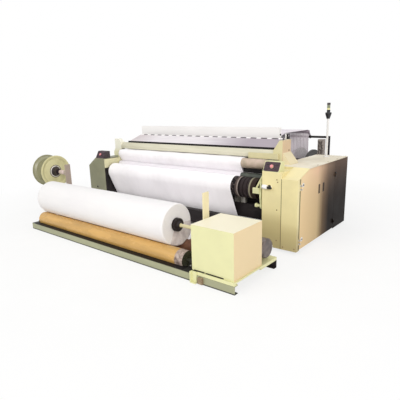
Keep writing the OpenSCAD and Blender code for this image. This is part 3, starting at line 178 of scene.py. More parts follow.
def grid(rows, cols, wrap=False, close=False):
    """Quads of a grid of points; wrap joins its last column to the first, close its last row."""
    i = np.arange(rows if close else rows - 1)[:, None]
    j = np.arange(cols if wrap else cols - 1)[None, :]
    n, k = (i + 1) % rows, (j + 1) % cols
    quads = np.stack([i * cols + j, i * cols + k, n * cols + k, n * cols + j], -1)
    return quads.reshape(-1, 4).tolist()


def loft(sections):
    """Closed skin through sections[s, k], one ring of points each, with flat ends.

    Rings that run clockwise, where the sum of p(k) x p(k + 1) points against the path, are
    reversed.
    """
    rows, cols = sections.shape[:2]
    ring = sections[0] - sections[0].mean(axis=0)
    turn = np.cross(ring, np.roll(ring, -1, axis=0)).sum(axis=0)
    if turn @ (sections[-1].mean(axis=0) - sections[0].mean(axis=0)) < 0:
        sections = sections[:, ::-1]
    faces = grid(rows, cols, wrap=True)
    faces.append(list(range(cols))[::-1])
    faces.append([(rows - 1) * cols + k for k in range(cols)])
    return sections.reshape(-1, 3), faces


def repeat(part, shifts):
    """Copies of a part moved by each row of shifts."""
    points, faces = part
    many = (points[None] + np.asarray(shifts)[:, None]).reshape(-1, 3)
    return many, [[v + k * len(points) for v in f] for k in range(len(shifts)) for f in faces]


def in_row(part, places):
    """Copies of a part moved along X to each of the places."""
    return repeat(part, np.column_stack([places, np.zeros((len(places), 2))]))


def join(parts):
    """One part from several."""
    points, faces, base = [], [], 0
    for p, f in parts:
        points.append(p)
        faces += [[v + base for v in face] for face in f]
        base += len(p)
    return np.concatenate(points), faces


def across(normal):
    """Two unit directions square to a normal."""
    normal = np.asarray(normal, float) / np.linalg.norm(normal)
    u = np.cross(normal, [0.0, 0.0, 1.0] if abs(normal[2]) < 0.9 else [1.0, 0.0, 0.0])
    u /= np.linalg.norm(u)
    return normal, u, np.cross(normal, u)


def rim(sides, u, v):
    """Unit circle cos t u + sin t v at equal steps of t."""
    t = np.arange(sides)[:, None] * TAU / sides
    return np.cos(t) * u + np.sin(t) * v


def turned(centre, normal, profile, sides):
    """Turned form: p(s, t) = c + h(s) n + r(s) (cos t u + sin t v)."""
    n, u, v = across(normal)
    h, r = np.asarray(profile, float).T[:, :, None, None]
    return loft(np.asarray(centre) + h * n + r * rim(sides, u, v))


def tube(path, radius, sides=10):
    """Round bar p(s, t) = c(s) + r (cos t u(s) + sin t v(s)) along a path of points."""
    path = np.asarray(path, float)
    frames = [across(d) for d in np.gradient(path, axis=0)]
    return loft(np.array([c + radius * rim(sides, u, v) for c, (_, u, v) in zip(path, frames)]))


def along_x(profile, x0, x1):
    """Bar of a closed (y, z) profile from x0 to x1."""
    profile = np.asarray(profile, float)
    ends = [np.column_stack([np.full(len(profile), x), profile]) for x in (x0, x1)]
    return loft(np.array(ends))


def chamfered(low, high, cut=0.004):
    """Block between two corners whose edges along X are cut by a chamfer."""
    (x0, y0, z0), (x1, y1, z1) = low, high
    return along_x([[y0 + cut, z0], [y1 - cut, z0], [y1, z0 + cut], [y1, z1 - cut],
                    [y1 - cut, z1], [y0 + cut, z1], [y0, z1 - cut], [y0, z0 + cut]], x0, x1)


def sheet(x, points, normals, lift):
    """Sheet across X along a middle line: p(s, x) = (x, c(s) + lift n(s))."""
    flat = points[:, None] + normals[:, None] * lift[..., None]
    x = np.broadcast_to(x[:, None], (*flat.shape[:2], 1))
    return np.concatenate([x, flat], -1).reshape(-1, 3), grid(*flat.shape[:2])


def piece(name, part, finish, body, smooth=False):
    """Object from a part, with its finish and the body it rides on."""
    points, faces = part
    mesh = bpy.data.meshes.new(name)
    mesh.from_pydata(points.tolist(), [], faces)
    mesh.polygons.foreach_set("use_smooth", np.full(len(mesh.polygons), smooth))
    mesh.materials.append(material(finish))
    mesh.update()
    obj = bpy.data.objects.new(name, mesh)
    bpy.context.scene.collection.objects.link(obj)
    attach(obj, body)
    return obj


def run_length(points):
    """Length run along a line of points, from 0."""
    return np.concatenate([[0], np.cumsum(np.linalg.norm(np.diff(points, axis=0), axis=1))])


def web_path(rollers, start_dir, end_dir, step):
    """Middle line of a web round rollers given as (y, z, radius, side).

    The web touches roller i where its direction d satisfies p = c - side r n(d), with n the
    normal to the left, and runs straight between two rollers along
    d = atan2(dz, dy) - asin((s2 r2 - s1 r1) / distance). Returns the points, their normals, the
    length run and a weight that is sin^2 on a straight span and 0 on a roller.
    """
    rollers = np.asarray(rollers, float)
    delta = np.diff(rollers[:, :2], axis=0)
    reach = np.diff(rollers[:, 2] * rollers[:, 3])
    dirs = np.arctan2(delta[:, 1], delta[:, 0]) - np.arcsin(reach / np.linalg.norm(delta, axis=1))
    points, normals, weights = [], [], []
    for i, (y, z, r, side) in enumerate(rollers):
        d0 = dirs[i - 1] if i else start_dir
        d1 = dirs[i] if i < len(dirs) else end_dir
        turn = (side * (d1 - d0)) % TAU if r > 0 else 0.0
        turn = 0.0 if turn > TAU - 1e-6 else turn
        steps = max(2, int(np.ceil(turn / 0.1)))
        d = (d0 if r > 0 else d1) + side * turn * np.linspace(0, 1, steps)
        n = np.column_stack([-np.sin(d), np.cos(d)])
        arc = np.array([y, z]) - side * r * n
        if r == 0:
            arc, n = arc[:1], n[:1]
        if points:
            a, b = points[-1][-1], arc[0]
            k = max(2, int(np.linalg.norm(b - a) / step))
            t = np.linspace(0, 1, k + 1)[1:-1, None]
            points.append(a + (b - a) * t)
            normals.append(np.repeat(n[:1], k - 1, axis=0))
            weights.append(np.sin(np.pi * t[:, 0]) ** 2)
        points.append(arc)
        normals.append(n)
        weights.append(np.zeros(len(arc)))
    points = np.concatenate(points)
    return points, np.concatenate(normals), run_length(points), np.concatenate(weights)


FACE_RADIUS = {      # of the faces that cloth or yarn runs on
    "breast_beam": 0.06, "press_roller": 0.044, "take_up_roller": 0.122,
    "floor_guide_roller": 0.038, "rear_roller": 0.093,
    "yarn_package": 0.32, "back_rest_roller": 0.024, "warp_guide_roller": 0.035,
}


def roller(node, side, gap):
    """Row of a web's rollers from a node's axis and the radius of its face."""
    c = axis(node)
    return (c[1], c[2], FACE_RADIUS[node] + gap, side)


# Finishes

def add(tree, kind, sockets=None, stops=(), **props):
    """Shader node with its settings, links and ramp stops.

    A socket value that is an output is linked, and any other is set.
    """
    node = tree.nodes.new("ShaderNode" + kind)
    for key, value in props.items():
        setattr(node, key, value)
    for key, value in (sockets or {}).items():
        if isinstance(value, bpy.types.NodeSocket):
            tree.links.new(value, node.inputs[key])
        else:
            node.inputs[key].default_value = value
    for k, (place, shade) in enumerate(stops):
        keys = node.color_ramp.elements
        key = keys[k] if k < 2 else keys.new(place)
        key.position = place
        key.color = linear(shade) if isinstance(shade, str) else shade
    return node


def tones(name, spread):
    """Three shades about one of the main colours."""
    base = np.array(getattr(bpy.context.scene.loom_colours, name))
    return [(*np.clip(base * k, 0, 1), 1.0) for k in (1 - spread, 1.0, 1 + spread)]


def finish(name, colours, grain, rough, bump, stretch=(1, 1, 1), pattern=None, **shader):
    """Material of a base colour that wanders between colours at a grain given per metre.

    colours are hex codes, or the name of a main colour and the spread of its shades. rough spans
    the roughness, bump is the pattern's scale per metre and its depth in metres, stretch scales
    the pattern's axes, and pattern may replace the colour or the height.
    """
    if isinstance(colours, tuple):
        colours = tones(*colours)
    mat = bpy.data.materials.new(name)
    mat.use_nodes = True
    tree = mat.node_tree
    bsdf = tree.nodes["Principled BSDF"]
    place = add(tree, "TexCoord").outputs["Object"]
    local = add(tree, "Mapping", {"Vector": place, "Scale": stretch}).outputs["Vector"]
    cloud = add(tree, "TexNoise", {"Vector": local, "Scale": grain, "Detail": 5.0,
                                   "Roughness": 0.6})
    fine = add(tree, "TexNoise", {"Vector": local, "Scale": bump[0], "Detail": 2.0})
    stops = [(0.32 + 0.36 * k / max(1, len(colours) - 1), c) for k, c in enumerate(colours)]
    colour = add(tree, "ValToRGB", {"Fac": cloud.outputs["Fac"]}, stops).outputs["Color"]
    height = fine.outputs["Fac"]
    if pattern:
        colour, height = pattern(tree, place, colour, height)
    gloss = add(tree, "MapRange", {"Value": cloud.outputs["Fac"], "From Min": 0.3, "From Max": 0.7,
                                   "To Min": rough[0], "To Max": rough[1]})
    relief = add(tree, "Bump", {"Height": height, "Strength": 0.6, "Distance": bump[1]})
    tree.links.new(colour, bsdf.inputs["Base Color"])
    tree.links.new(gloss.outputs["Result"], bsdf.inputs["Roughness"])
    tree.links.new(relief.outputs["Normal"], bsdf.inputs["Normal"])
    for key, value in shader.items():
        bsdf.inputs[key.replace("_", " ")].default_value = value
    return mat


# Directions, and the colour sockets of a Mix node with its settings
X, Y, Z = (1.0, 0.0, 0.0), (0.0, 1.0, 0.0), (0.0, 0.0, 1.0)
BASE, OVER, MIXED = 6, 7, 2
MIX = {"data_type": "RGBA"}
GRAIN = {"data_type": "RGBA", "blend_type": "MULTIPLY"}


def share_along(tree, place, direction, low, high):
    """Share from 0 to 1 of the way from low to high along a direction of the part."""
    along = add(tree, "VectorMath", {0: place, 1: direction}, operation="DOT_PRODUCT")
    share = add(tree, "MapRange", {"Value": along.outputs["Value"], "From Min": float(low),
                                   "From Max": float(high)})
    return share.outputs["Result"]


def share_round(tree, place, centre, low, high):
    """Share from 0 to 1 of the way from one radius to another about an axis along X."""
    off = add(tree, "VectorMath", {0: place, 1: (0.0, *map(float, centre[1:]))},
              operation="SUBTRACT")
    flat = add(tree, "VectorMath", {0: off.outputs[0], 1: (0.0, 1.0, 1.0)}, operation="MULTIPLY")
    radius = add(tree, "VectorMath", {0: flat.outputs[0]}, operation="LENGTH")
    share = add(tree, "MapRange", {"Value": radius.outputs["Value"], "From Min": low,
                                   "From Max": high})
    return share.outputs["Result"]


def beyond(*layers):
    """Pattern of layers that each turn the colour to a shade from low to high in a direction."""
    def pattern(tree, place, colour, height):
        for direction, low, high, shade in layers:
            share = share_along(tree, place, direction, low, high)
            tone = add(tree, "Mix", {"Factor": share, BASE: colour, OVER: linear(shade)}, **MIX)
            colour = tone.outputs[MIXED]
        return colour, height
    return pattern


def graded(direction, low, high, stops, grain=0.0):
    """Pattern that runs through stops along a direction, with a share of the base's grain."""
    def pattern(tree, place, colour, height):
        share = share_along(tree, place, direction, low, high)
        tone = add(tree, "ValToRGB", {"Fac": share}, stops).outputs["Color"]
        if grain:
            tone = add(tree, "Mix", {"Factor": grain, BASE: tone, OVER: colour},
                       **GRAIN).outputs[MIXED]
        return tone, height
    return pattern


def weave(tree, place, colour, height):
    """Plain weave: two crossed waves of 1.2 mm pitch in the height."""
    warp = add(tree, "TexWave", {"Vector": place, "Scale": 262.0}, bands_direction="X")
    weft = add(tree, "TexWave", {"Vector": place, "Scale": 262.0}, bands_direction="Z")
    both = add(tree, "Math", {0: warp.outputs["Fac"], 1: weft.outputs["Fac"]},
               operation="MULTIPLY")
    return colour, both.outputs[0]


def ends(tree, place, colour, height):
    """Filament ends side by side: waves of 3 mm and, drawn coarser to show, 40 mm pitch in X."""
    line = add(tree, "TexWave", {"Vector": place, "Scale": 105.0, "Distortion": 0.6,
                                 "Detail": 1.0}, bands_direction="X")
    group = add(tree, "TexWave", {"Vector": place, "Scale": 7.9, "Distortion": 2.0,
                                  "Detail": 2.0}, bands_direction="X")
    both = add(tree, "Math", {0: line.outputs["Fac"], 1: group.outputs["Fac"]}, operation="ADD")
    dark = add(tree, "MapRange", {"Value": both.outputs[0], "From Max": 2.0, "To Max": 0.24})
    tone = add(tree, "Mix", {"Factor": dark.outputs["Result"], BASE: colour,
                             OVER: linear("#8D8290")}, **MIX)
    return tone.outputs[MIXED], line.outputs["Fac"]


def painted_door_shade(tree, place, colour, height):
    """Tan enamel with painted shade that darkens it to the back, and to black near the floor."""
    share = share_along(tree, place, Y, ORIGIN[1] + 0.073, ORIGIN[1] + 1.456)
    low = add(tree, "ValToRGB", {"Fac": share}, [
        (0.0, "#E4CCA1"), (0.32, "#CAB58D"), (0.44, "#65533F"), (0.57, "#140D0A")])
    high = add(tree, "ValToRGB", {"Fac": share}, [
        (0.0, "#F4DEB5"), (0.31, "#E4C4A6"), (0.53, "#84705F"), (0.72, "#5A4A40")])
    rise = share_along(tree, place, Z, 0.05, 0.85)
    steep = add(tree, "Math", {0: rise, 1: 3.5}, operation="POWER")
    tone = add(tree, "Mix", {"Factor": steep.outputs[0], BASE: low.outputs["Color"],
                             OVER: high.outputs["Color"]}, **MIX)
    both = add(tree, "Mix", {"Factor": 0.15, BASE: tone.outputs[MIXED], OVER: colour}, **GRAIN)
    return both.outputs[MIXED], height


def cabinet_painted_shade(tree, place, colour, height):
    """Cream enamel with painted shade that darkens it to olive towards the floor, higher on the
    column.
    """
    cover = share_along(tree, place, X, ORIGIN[0] + 1.611, ORIGIN[0] + 1.613)
    rise = share_along(tree, place, Z, 0.03, 0.75)
    share = add(tree, "Math", {0: cover, 1: 0.14, 2: rise}, operation="MULTIPLY_ADD").outputs[0]
    tone = add(tree, "ValToRGB", {"Fac": share}, [
        (0.0, "#8F7E4E"), (0.2, "#9E8E5F"), (0.4, "#B8A977"), (0.58, "#DCCF9B"), (0.75, "#E5D9A5")])
    fade = add(tree, "MapRange", {"Value": share, "From Min": 0.5, "From Max": 0.8,
                                  "To Min": 0.2, "To Max": 1.0})
    both = add(tree, "Mix", {"Factor": fade.outputs["Result"], BASE: tone.outputs["Color"],
                             OVER: colour}, **MIX)
    return both.outputs[MIXED], height


def worn_roller(tree, place, colour, height):
    """Rubber covering, a stained bare steel band at the right end, and dark end discs."""
    roll, left = span("cloth_roll")[1][0], span("front_roller")[0][0]
    band = share_along(tree, place, X, roll + 0.145, roll + 0.16)
    disc = add(tree, "Math", {0: share_along(tree, place, X, roll + 0.2525, roll + 0.2535),
                              1: share_along(tree, place, X, left + 0.011, left + 0.010)},
               operation="MAXIMUM").outputs[0]
    stain = add(tree, "TexNoise", {"Vector": place, "Scale": 26.0, "Detail": 6.0,
                                   "Roughness": 0.7})
    steel = add(tree, "ValToRGB", {"Fac": stain.outputs["Fac"]}, [
        (0.36, "#6A5A54"), (0.5, "#A08D83"), (0.62, "#BBAAA0")])
    worn = add(tree, "Mix", {"Factor": band, BASE: colour, OVER: steel.outputs["Color"]}, **MIX)
    tone = add(tree, "Mix", {"Factor": disc, BASE: worn.outputs[MIXED],
                             OVER: linear("#38382B")}, **MIX)
    return tone.outputs[MIXED], height


def take_up_bands(tree, place, colour, height):
    """Roughened sleeve, grey ring, dark drum and a bright collar along the bare right end."""
    share = share_along(tree, place, X, ORIGIN[0] + 0.9, ORIGIN[0] + 1.3)
    scales = add(tree, "TexVoronoi", {"Vector": place, "Scale": 45.0})
    knurl = add(tree, "ValToRGB", {"Fac": scales.outputs["Distance"]}, [
        (0.1, "#6A5E58"), (0.35, "#30282A"), (0.6, "#120E0F")])
    tone = add(tree, "ValToRGB", {"Fac": share}, [
        (0.0, "#2A2223"), (0.19, "#5C504C"), (0.26, "#6E625D"), (0.27, "#A3968F"),
        (0.285, "#A3968F"), (0.295, "#120E0F"), (0.375, "#2E2627"), (0.66, "#302829"),
        (0.67, "#8E8974"), (0.71, "#847F6B"), (0.72, "#33271F"), (1.0, "#241C18")])
    sleeve = add(tree, "MapRange", {"Value": share, "From Min": 0.21, "From Max": 0.18})
    both = add(tree, "Mix", {"Factor": sleeve.outputs["Result"], BASE: tone.outputs["Color"],
                             OVER: knurl.outputs["Color"]}, **MIX)
    return both.outputs[MIXED], scales.outputs["Distance"]


def press_cover(tree, place, colour, height):
    """White rubber covering over the cloth's width, and dark bare ends beyond it."""
    lo, hi = span("cloth_web")
    right = share_along(tree, place, X, hi[0] + 0.002, hi[0] - 0.002)
    left = share_along(tree, place, X, lo[0] - 0.002, lo[0] + 0.002)
    both = add(tree, "Math", {0: left, 1: right}, operation="MULTIPLY")
    tone = add(tree, "Mix", {"Factor": both.outputs[0], BASE: colour, OVER: linear("#E9E5EA")},
               **MIX)
    return tone.outputs[MIXED], height


def let_off_box(tree, place, colour, height):
    """Dark stand below and a grey box above, stained in dark patches."""
    share = share_along(tree, place, Z, 0.80, 0.81)
    stain = add(tree, "TexNoise", {"Vector": place, "Scale": 34.0, "Detail": 3.0})
    grey = add(tree, "ValToRGB", {"Fac": stain.outputs["Fac"]}, [
        (0.4, "#6A615C"), (0.5, "#938A84"), (0.6, "#A79E97")])
    tone = add(tree, "Mix", {"Factor": share, BASE: colour, OVER: grey.outputs["Color"]}, **MIX)
    return tone.outputs[MIXED], height


def reel_faces_and_shade(tree, place, colour, height):
    """Far flange turned olive by painted shade, cream near drum, and a plum hub with a pale ring
    and a grey shaft end.
    """
    near = share_along(tree, place, X, ORIGIN[0] - 2.05, ORIGIN[0] - 2.04)
    sleeve = share_along(tree, place, X, ORIGIN[0] - 1.80, ORIGIN[0] - 1.79)
    radius = share_round(tree, place, axis("reel"), 0.0, 0.1)
    face = add(tree, "Mix", {"Factor": near, BASE: linear("#97967A"), OVER: colour}, **MIX)
    shaft = add(tree, "Mix", {"Factor": sleeve, BASE: linear("#2B2024"),
                              OVER: linear("#A8968F")}, **MIX)
    ring = add(tree, "ValToRGB", {"Fac": radius}, [
        (0.0, "#2B2024"), (0.74, "#2B2024"), (0.76, "#F1EDE0"), (0.84, "#F1EDE0"),
        (0.86, "#3A2E2A"), (0.93, "#4A3E36")])
    inner = add(tree, "MapRange", {"Value": radius, "From Min": 0.6, "From Max": 0.62})
    hub = add(tree, "Mix", {"Factor": inner.outputs["Result"], BASE: shaft.outputs[MIXED],
                            OVER: ring.outputs["Color"]}, **MIX)
    outer = add(tree, "MapRange", {"Value": radius, "From Min": 0.93, "From Max": 0.97})
    tone = add(tree, "Mix", {"Factor": outer.outputs["Result"], BASE: hub.outputs[MIXED],
                             OVER: face.outputs[MIXED]}, **MIX)
    return tone.outputs[MIXED], height


def core_face(tree, place, colour, height):
    """Black tube on a pale shaft: the colour changes with the distance from the axis."""
    share = share_round(tree, place, axis("roll_core"), 0.019, 0.024)
    tone = add(tree, "Mix", {"Factor": share, BASE: linear("#D8CFA6"), OVER: colour}, **MIX)
    return tone.outputs[MIXED], height


# Brushed sheet with painted light: pale from the left to the middle, darker lavender towards the
# right
plate_painted_light = graded(X, span("splash_plate")[0][0], span("splash_plate")[1][0], [
    (0.0, "#D3C8C9"), (0.2, "#EBE6E9"), (0.53, "#E9E4E7"), (0.82, "#A89DA7")], 0.3)
# Cream housing with painted light that turns its right face tan, and a pale wedge beyond it
bracket_painted_light = graded(X, ORIGIN[0] + 1.3, ORIGIN[0] + 1.5, [
    (0.0, "#D8D1A6"), (0.52, "#DAD2A8"), (0.54, "#D9BE9A"), (0.565, "#D9BE9A"), (0.58, "#E4D8B2")],
    0.2)
# Stack of lenses: black cup and neck, pale yellow lens, grey-green lens and a dark cap
lamp_bands = graded(Z, span("signal_lamp")[0][2], span("signal_lamp")[1][2], [
    (0.0, "#1D1E24"), (0.56, "#15151A"), (0.565, "#E8E4A8"), (0.655, "#E0DA9C"),
    (0.665, "#8C9470"), (0.865, "#7F8470"), (0.87, "#3A2F33")])
# Cream enamel with painted light that pales it towards the bracket's top
painted_top_light = beyond((Z, 0.9, 0.98, "#F2F0E0"))
# Bright front hinges, and rear ones turned black by painted shade
hinge_painted_shade = beyond((Y, ORIGIN[1] + 0.5, ORIGIN[1] + 0.6, "#1E1714"))
# Ground steel with an oily dark gear on the right journal
beam_gear = beyond((X, ORIGIN[0] + 1.10, ORIGIN[0] + 1.11, "#241F1D"))
# Black casting below and cream enamel on the top of the left side frame
frame_paint = beyond((Z, 0.70, 0.71, "#DDD8B0"))
# Dark tie rod with pale arms above it that hold the back rest
rocker_arms = beyond((Z, 1.098, 1.102, "#9A8E98"))
# Cream right post, and a left post worn to grey brown
post_sides = beyond((X, 0.01, -0.01, "#A99A8D"))
# White arm with a black phenolic grip in front of it
grip = span("release_lever")[0][1]
lever_grip = beyond((Y, grip + 0.0185, grip + 0.0165, "#14110F"))
# Powder coat with painted light: a tan right face and a paler top
corner = span("drive_box")[1]
box_painted_light = beyond((X, corner[0] - 0.0012, corner[0] - 0.0002, "#E0CBA0"),
                   (Z, corner[2] - 0.0012, corner[2] - 0.0002, "#F0EAD0"))
# Rail enamel with painted shade: a black top flange under the roller and a dark line along the
# floor
rail_painted_shade = beyond((Z, 0.0775, 0.0785, "#0F0B05"), (Z, 0.014, 0.009, "#34342A"))


def look(colours, grain, rough, bump, **more):
    """Settings of a finish."""
    return dict(colours=colours, grain=grain, rough=rough, bump=bump, **more)


CASTING = ["#1C1919", "#282424", "#353030"], 14.0, (0.5, 0.7), (160.0, 0.0008)

FINISHES = {
    # Cream powder coat on folded sheet, with orange peel of about a millimetre
    "cream powder coat": look(("cream", 0.05), 2.0, (0.36, 0.46), (700.0, 0.0001)),
    # The same coat on the drive box, with painted light making the top paler and the right face tan
    "drive box powder coat": look(
        ("cream", 0.05), 2.0, (0.36, 0.46), (700.0, 0.0001), pattern=box_painted_light),
    # Rolled steel, bright on the front hinges, with painted shade that turns it black behind
    "hinge steel": look(
        ["#B5B1AC", "#CDC9C4"], 40.0, (0.3, 0.45), (900.0, 0.0001), pattern=hinge_painted_shade,
        Metallic=0.3),
    # Cream enamel of the loom's covers, with painted shade lower down
    "cabinet cream enamel": look(
        ("cabinet", 0.07), 3.0, (0.36, 0.48), (700.0, 0.0001), pattern=cabinet_painted_shade),
    # Faded cream on the flat top of the drive cabinet, greyed by dust
    "faded top enamel": look(["#CFC5AE", "#DFD6C0", "#ECE6D6"], 3.5, (0.45, 0.6), (500.0, 0.0001)),
    # Enamel of the folded top beam, pale cream in long streaks
    "pale beam enamel": look(
        ["#C3BFA8", "#D0CCB6", "#DAD6C2"], 5.0, (0.38, 0.5), (500.0, 0.0001), stretch=(0.2, 1, 1)),
    # Steel bar of the back rest, polished to a soft grey by the yarn
    "yarn polished bar": look(
        ["#9A8E98", "#AA9EA8"], 20.0, (0.35, 0.5), (900.0, 0.0001), stretch=(4, 1, 1)),
    # Satin enamel of the tie bar, dark, with pale rocker arms
    "tie bar enamel": look(
        ("dark", 0.3), 7.0, (0.45, 0.6), (300.0, 0.0003), pattern=rocker_arms,
        Specular_IOR_Level=0.2),
    # Moulded gasket in the joints of the covers, a dull olive line
    "olive gasket": look(["#554C31", "#6F6442"], 40.0, (0.6, 0.75), (500.0, 0.0002)),
    # Moulded rubber buffer, dull brown and scuffed
    "brown rubber buffer": look(
        ["#7A6650", "#8E7A60", "#A08C72"], 30.0, (0.5, 0.7), (400.0, 0.0003)),
    # Enamel worn to tan primer where the cloth's tail rubs
    "worn tan enamel": look(["#A99A86", "#BBA996", "#C9B4A6"], 9.0, (0.4, 0.55), (300.0, 0.0002)),
    # Brushed enamel of the winder's posts, cream, the left one worn grey
    "cream post enamel": look(
        ["#E2D7AC", "#EADFB6", "#F0E6C2"], 6.0, (0.38, 0.5), (500.0, 0.0002), pattern=post_sides),
    # Tinplate reel in cream with a dark hub, the far flange turned olive by painted shade
    "reel tinplate enamel": look(
        ["#C6C08E", "#D9D4A2", "#E0DCAC"], 4.0, (0.3, 0.42), (300.0, 0.0002), pattern=reel_faces_and_shade),
    # Grey-green machine enamel, brushed on
    "grey green enamel": look(
        ("enamel", 0.1), 5.0, (0.4, 0.55), (400.0, 0.0002), Specular_IOR_Level=0.3),
    # Lighter grey-green enamel of the winder's rails, with painted shade on top and along the floor
    "rail enamel": look(
        ("rail", 0.12), 4.0, (0.42, 0.56), (300.0, 0.0003), stretch=(0.3, 1, 1),
        pattern=rail_painted_shade),
    # Tan enamel of the doors, with painted shade towards the back and the floor
    "tan door enamel": look(
        ("door", 0.07), 4.0, (0.42, 0.52), (700.0, 0.0001), pattern=painted_door_shade,
        Specular_IOR_Level=0.05),
    # Satin enamel on beams, nearly black with a faint sheen
    "dark satin enamel": look(
        ("dark", 0.3), 7.0, (0.45, 0.6), (300.0, 0.0003), Specular_IOR_Level=0.2),
    # Sand cast iron painted over, dark with a coarse skin of some 6 mm
    "painted iron casting": look(*CASTING, Specular_IOR_Level=0.2),
    # The same casting on the left side frame, cream above the take-up roller
    "two-tone casting enamel": look(*CASTING, pattern=frame_paint, Specular_IOR_Level=0.2),
    # Enamel of the right bracket's housing, pale cream, with painted light that turns the right
    # face tan
    "bracket enamel": look(
        ["#D5D2CC", "#EAE8E2", "#FFFFFF"], 6.0, (0.38, 0.5), (500.0, 0.0001),
        pattern=bracket_painted_light),
    # Cream enamel of the left bracket, paled towards the top by painted light
    "bracket enamel with painted top light": look(
        ["#E6E2BC", "#EEEAC8"], 6.0, (0.38, 0.5), (500.0, 0.0001), pattern=painted_top_light),
    # Pinkish nylon sleeve on the reel's shaft
    "turned nylon sleeve": look(["#C4AEA8", "#D8C6C0"], 20.0, (0.4, 0.5), (700.0, 0.0001)),
    # The same casting with the let-off gear's grey stained box on it
    "let-off gear enamel": look(*CASTING, pattern=let_off_box, Specular_IOR_Level=0.2),
    # Enamel on the gear motor's die casting, mottled grey, dull shine
    "grey motor enamel": look(
        ["#4C4442", "#645A56", "#7C726E"], 18.0, (0.3, 0.5), (260.0, 0.0004), Metallic=0.3),
    # Steel ground on centres, with turning marks round X
    "ground steel": look(
        ["#8F8B8D", "#A9A5A8", "#BFBBBD"], 30.0, (0.25, 0.45), (1400.0, 0.00005), stretch=(6, 1, 1),
        Metallic=0.85),
    # Ground steel of the warp beam, pale, with an oily dark gear
    "beam steel": look(
        ["#A8A1A4", "#BDB6B9", "#CDC7CA"], 30.0, (0.4, 0.55), (1400.0, 0.00005), pattern=beam_gear),
    # Blackened steel of the press roller, dull with lint
    "blackened steel": look(
        ["#343932", "#454A42", "#585B52"], 12.0, (0.45, 0.6), (500.0, 0.0002), pattern=press_cover),
    # Stainless sheet brushed along X, in long fine streaks
    "brushed stainless sheet": look(
        ["#C9C5CA", "#E6E3E6", "#FFFFFF"], 40.0, (0.4, 0.52), (900.0, 0.00006),
        stretch=(0.06, 1, 1), pattern=plate_painted_light, Metallic=0.2),
    # Roughened rubber covering of the take-up roller, with its bands
    "roughened rubber": look(
        ["#1C1819", "#2B2627", "#3C3536"], 22.0, (0.4, 0.6), (220.0, 0.0012), pattern=take_up_bands,
        Specular_IOR_Level=0.1),
    # Extruded rubber of lips and pulls, and of black strips of painted shadow, black and dull
    "black rubber extrusion": look(
        ["#0E0B0B", "#191414"], 30.0, (0.45, 0.6), (500.0, 0.0002), Specular_IOR_Level=0.2),
    # Ochre rubber covering, cast and ground, polished by the cloth
    "ochre rubber covering": look(
        ("ochre", 0.14), 9.0, (0.2, 0.34), (140.0, 0.0002), stretch=(0.25, 1, 1),
        pattern=worn_roller),
    # Brown rear roller, same covering but soaked with oil
    "aged rubber covering": look(
        ["#5F3F2E", "#7A523E", "#8E6550"], 9.0, (0.35, 0.5), (140.0, 0.0003), pattern=worn_roller),
    # White anodised aluminium extrusion of the heald rails
    "white anodised extrusion": look(
        ["#F4F2F1", "#FAF8F7"], 12.0, (0.3, 0.42), (900.0, 0.00005), stretch=(0.1, 1, 1)),
    # Moulded plastic of the panel faces, an even satin plum
    "plum moulded plastic": look(
        ["#3F2F37", "#4C3A43"], 25.0, (0.4, 0.5), (900.0, 0.0001), Specular_IOR_Level=0.25),
    # Moulded plastic of the left control box, dark and satin
    "dark moulded plastic": look(
        ["#3A3234", "#4A4042"], 25.0, (0.4, 0.5), (700.0, 0.0002), Specular_IOR_Level=0.25),
    # Moulded plastic of the stop buttons, red faded to pink
    "red moulded plastic": look(["#DB8085", "#EC9CA0"], 60.0, (0.25, 0.35), (900.0, 0.0001)),
    # White moulded plastic lever with a black grip
    "white moulded plastic": look(
        ["#E9E7E0", "#F4F2EE"], 30.0, (0.35, 0.45), (700.0, 0.0001), pattern=lever_grip),
    # Enamelled tube of the signal tower, a smooth white
    "white enamelled tube": look(["#DCDBD9", "#E8E7E5"], 20.0, (0.3, 0.4), (700.0, 0.0001)),
    # Moulded lenses of the signal lamp, glossy bands by height
    "moulded lamp lenses": look(
        ["#1D1E22", "#26272B"], 30.0, (0.2, 0.3), (500.0, 0.0001), pattern=lamp_bands),
    # Plain woven white synthetic cloth, tinted lavender where it hangs
    "plain woven cloth": look(
        ("cloth", 0.06), 3.5, (0.75, 0.9), (900.0, 0.0003), stretch=(1, 1, 0.35), pattern=weave,
        Sheen_Weight=0.15),
    # The same cloth wound tight, whiter layer on layer
    "batched woven cloth": look(
        ["#E9E7E9", "#EDEBEC", "#F0EEEE"], 3.0, (0.75, 0.9), (900.0, 0.0003), stretch=(0.3, 1, 1),
        pattern=weave, Sheen_Weight=0.1),
    # Loose outer layers at the roll's end, white cloth greyed by painted shade
    "slack selvedge cloth in painted shade": look(
        ["#BDB2B3", "#D3CACA", "#E2DADA"], 16.0, (0.7, 0.85), (900.0, 0.0003), pattern=weave,
        Sheen_Weight=0.1),
    # Filament warp yarn under tension, a grey line beside line
    "filament warp yarn": look(("warp", 0.07), 6.0, (0.5, 0.65), (900.0, 0.0004), pattern=ends),
    # The same yarn wound on the beam, paler and fuller
    "wound warp yarn": look(
        ["#EBE5EA", "#F2EDF1", "#F7F3F6"], 6.0, (0.6, 0.75), (900.0, 0.0006), pattern=ends),
    # Paper tube soaked black, on a steel shaft
    "black wound tube": look(
        ["#171112", "#261D1C"], 30.0, (0.4, 0.6), (300.0, 0.0003), pattern=core_face,
        Specular_IOR_Level=0.3),
    # Stamped chain steel, dark and bright with oil
    "oiled chain steel": look(
        ["#3A3430", "#5A534C", "#7A726A"], 60.0, (0.3, 0.5), (900.0, 0.0001), Metallic=0.8),
    # Zinc plated steel of bolts and brackets, a dull silver
    "zinc plated steel": look(
        ["#9D9A92", "#B8B5AC"], 80.0, (0.25, 0.4), (900.0, 0.00005), Metallic=0.6),
    # Screws painted over and rusted at the rim
    "rusted screw heads": look(["#7A6240", "#957C54"], 90.0, (0.5, 0.7), (600.0, 0.0001)),
}

